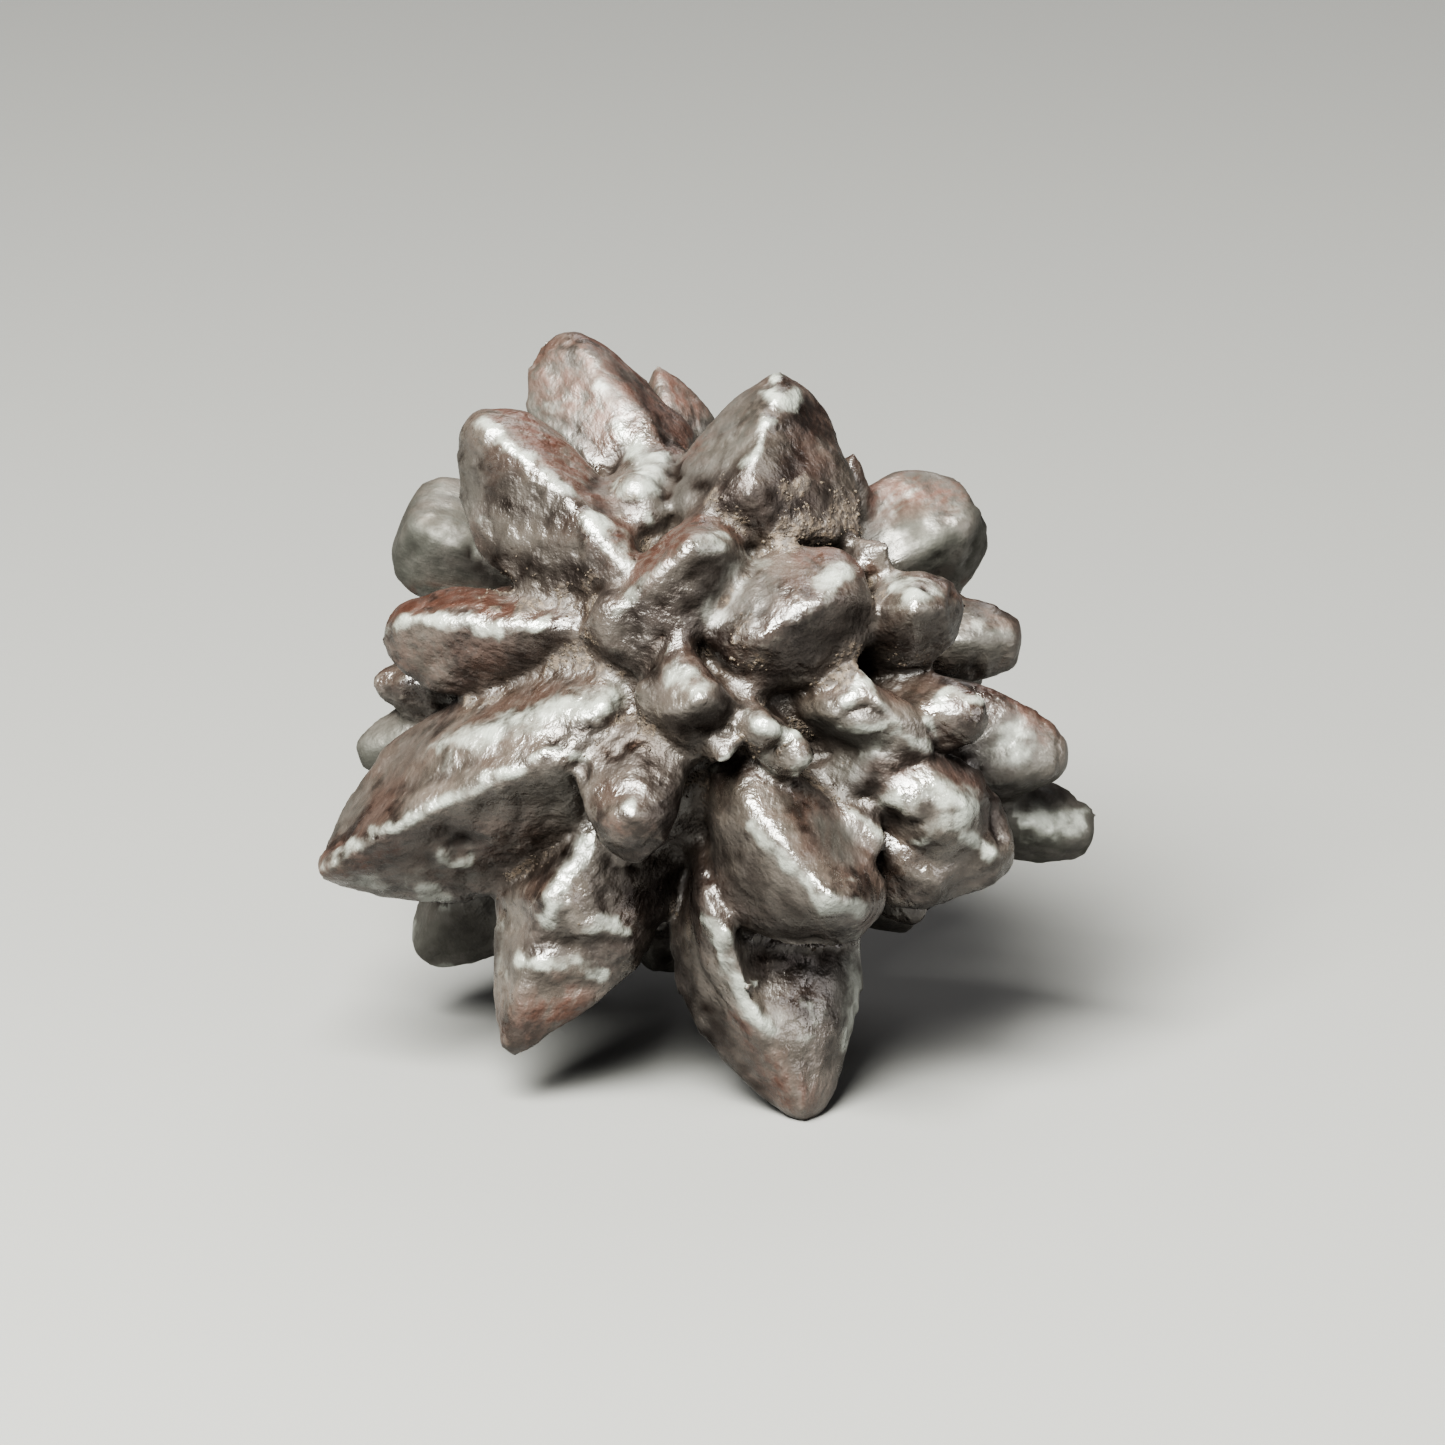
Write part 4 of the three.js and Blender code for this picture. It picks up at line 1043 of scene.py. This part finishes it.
def sand_grains():
    """A grain's corners are its centre plus the turned lump times its radius, as one array for them all."""
    dice = np.random.default_rng(GRAIN_SEED)
    # No grains on the polish and its painted highlights.
    outside_polish_and_painted_highlight = 1 - np.clip(1.5 * polish_and_painted_highlight, 0, 1)
    chance = np.where(sand > SANDY_ENOUGH, sand * (0.35 + crease) * outside_polish_and_painted_highlight, 0)
    chosen = dice.choice(POINT_COUNT, GRAIN_COUNT, p=chance / chance.sum())
    normals = normals_of(finished)[chosen]
    spread = LARGEST_RADIUS_MM - SMALLEST_RADIUS_MM
    radius = SMALLEST_RADIUS_MM + spread * dice.random(GRAIN_COUNT) ** 2
    squash = 0.7 + 0.5 * dice.random((GRAIN_COUNT, 3))
    turns = np.linalg.qr(dice.normal(size=(GRAIN_COUNT, 3, 3)))[0]
    turns *= np.linalg.det(turns)[:, None, None]
    lumps = np.einsum("gij,gkj->gki", turns, LUMP_CORNERS[None] * squash[:, None])
    slide = dice.normal(0, SLIDE_MM, (GRAIN_COUNT, 3))
    slide -= np.einsum("ij,ij->i", slide, normals)[:, None] * normals
    centres = finished[chosen] + slide - normals * (SUNK_SHARE * radius)[:, None]
    corners = centres[:, None] + lumps * radius[:, None, None]
    faces = LUMP_FACES[None] + (len(LUMP_CORNERS) * np.arange(GRAIN_COUNT))[:, None, None]
    mesh = bpy.data.meshes.new("sand_grains")
    corners = np.clip(corners.reshape(-1, 3), box_low, box_high)
    mesh.from_pydata((corners * MM).tolist(), [], faces.reshape(-1, 3).tolist())
    tone = mesh.attributes.new("tone", "FLOAT", "POINT")
    tones = np.repeat(dice.random(GRAIN_COUNT), len(LUMP_CORNERS))
    tone.data.foreach_set("value", tones.astype(np.float32))
    grains = bpy.data.objects.new("sand_grains", mesh)
    bpy.context.scene.collection.objects.link(grains)
    return grains


SAND_BROWN = (0.03, 0.021, 0.015, 1)
SAND_LIGHT = (0.06, 0.046, 0.033, 1)
SAND_ROUGHNESS = 0.7


def sand_finish():
    """Each grain takes its own tone between brown and light tan."""
    material = bpy.data.materials.new("sand")
    material.use_nodes = True
    tree = material.node_tree
    shader = tree.nodes["Principled BSDF"]
    tone = ramp(tree, attribute(tree, "tone"), 0.0, 1.0)
    tree.links.new(blend_colours(tree, tone, SAND_BROWN, SAND_LIGHT), shader.inputs["Base Color"])
    shader.inputs["Roughness"].default_value = SAND_ROUGHNESS
    return material


grains = sand_grains()
grains.data.materials.append(sand_finish())
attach(grains, "root")
print("grains:", GRAIN_COUNT, " triangles in them:", len(grains.data.polygons))

# %% [markdown]
# ## A plain floor
# The stone is shown on a plain floor, which isn't part of the stone.

# %% Floor
FLOOR_SIDE = 3.0
FLOOR_GREY = (0.15, 0.148, 0.144, 1)
FLOOR_ROUGHNESS = 0.8


def pale_floor():
    """One flat square at the height of the feet."""
    half = FLOOR_SIDE / 2
    mesh = bpy.data.meshes.new("floor")
    corners = [(-half, -half, 0), (half, -half, 0), (half, half, 0), (-half, half, 0)]
    mesh.from_pydata(corners, [], [(0, 1, 2, 3)])
    floor = bpy.data.objects.new("floor", mesh)
    bpy.context.scene.collection.objects.link(floor)
    finish = bpy.data.materials.new("pale_floor")
    finish.use_nodes = True
    shader = finish.node_tree.nodes["Principled BSDF"]
    shader.inputs["Base Color"].default_value = FLOOR_GREY
    shader.inputs["Roughness"].default_value = FLOOR_ROUGHNESS
    mesh.materials.append(finish)
    return floor


print("floor:", pale_floor().name)

# %% [markdown]
# ## Soft studio light
# Polished stone shows its shape by broad, soft glints, which large lamps give. The key lamp stands high
# on the left. A weak one on the right opens the shadows, a low one on the left reaches under the
# ridges, and one behind draws the upper edges. A dim grey sky fills in the rest.

# %% Lights
LAMPS = [
    # name, bearing and height in degrees, distance and side in metres, watts, colour
    ("key", -24, 52, 0.5, 0.3, 17.5, (0.985, 1, 0.945)),
    ("fill", 62, 18, 0.7, 0.4, 2.0, (1, 0.98, 0.97)),
    ("low", -35, 20, 0.7, 0.3, 1.1, (1, 1, 1)),
    ("back", 165, 50, 0.6, 0.3, 1.0, (1, 1, 1)),
]
SKY_GREY = (0.8, 0.81, 0.82, 1)
SKY_STRENGTH = 0.15


def softbox(name, azimuth, elevation, distance, side, watts, colour):
    """A square lamp at that bearing round the stone, turned to face it."""
    lamp = bpy.data.lights.new(name, "AREA")
    lamp.shape = "SQUARE"
    lamp.size = side
    lamp.energy = watts
    lamp.color = colour
    holder = bpy.data.objects.new(name, lamp)
    bpy.context.scene.collection.objects.link(holder)
    a, e = math.radians(azimuth), math.radians(elevation)
    back = Vector((math.sin(a) * math.cos(e), -math.cos(a) * math.cos(e), math.sin(e)))
    holder.location = Vector(HEART) + back * distance
    holder.rotation_euler = back.to_track_quat("Z", "Y").to_euler()


for lamp in LAMPS:
    softbox(*lamp)
bpy.context.scene.view_settings.view_transform = "AgX"
bpy.context.scene.view_settings.look = "AgX - High Contrast"

world = bpy.data.worlds.new("studio")
world.use_nodes = True
world.node_tree.nodes["Background"].inputs["Color"].default_value = SKY_GREY
world.node_tree.nodes["Background"].inputs["Strength"].default_value = SKY_STRENGTH
bpy.context.scene.world = world
print("lamps:", len(LAMPS))
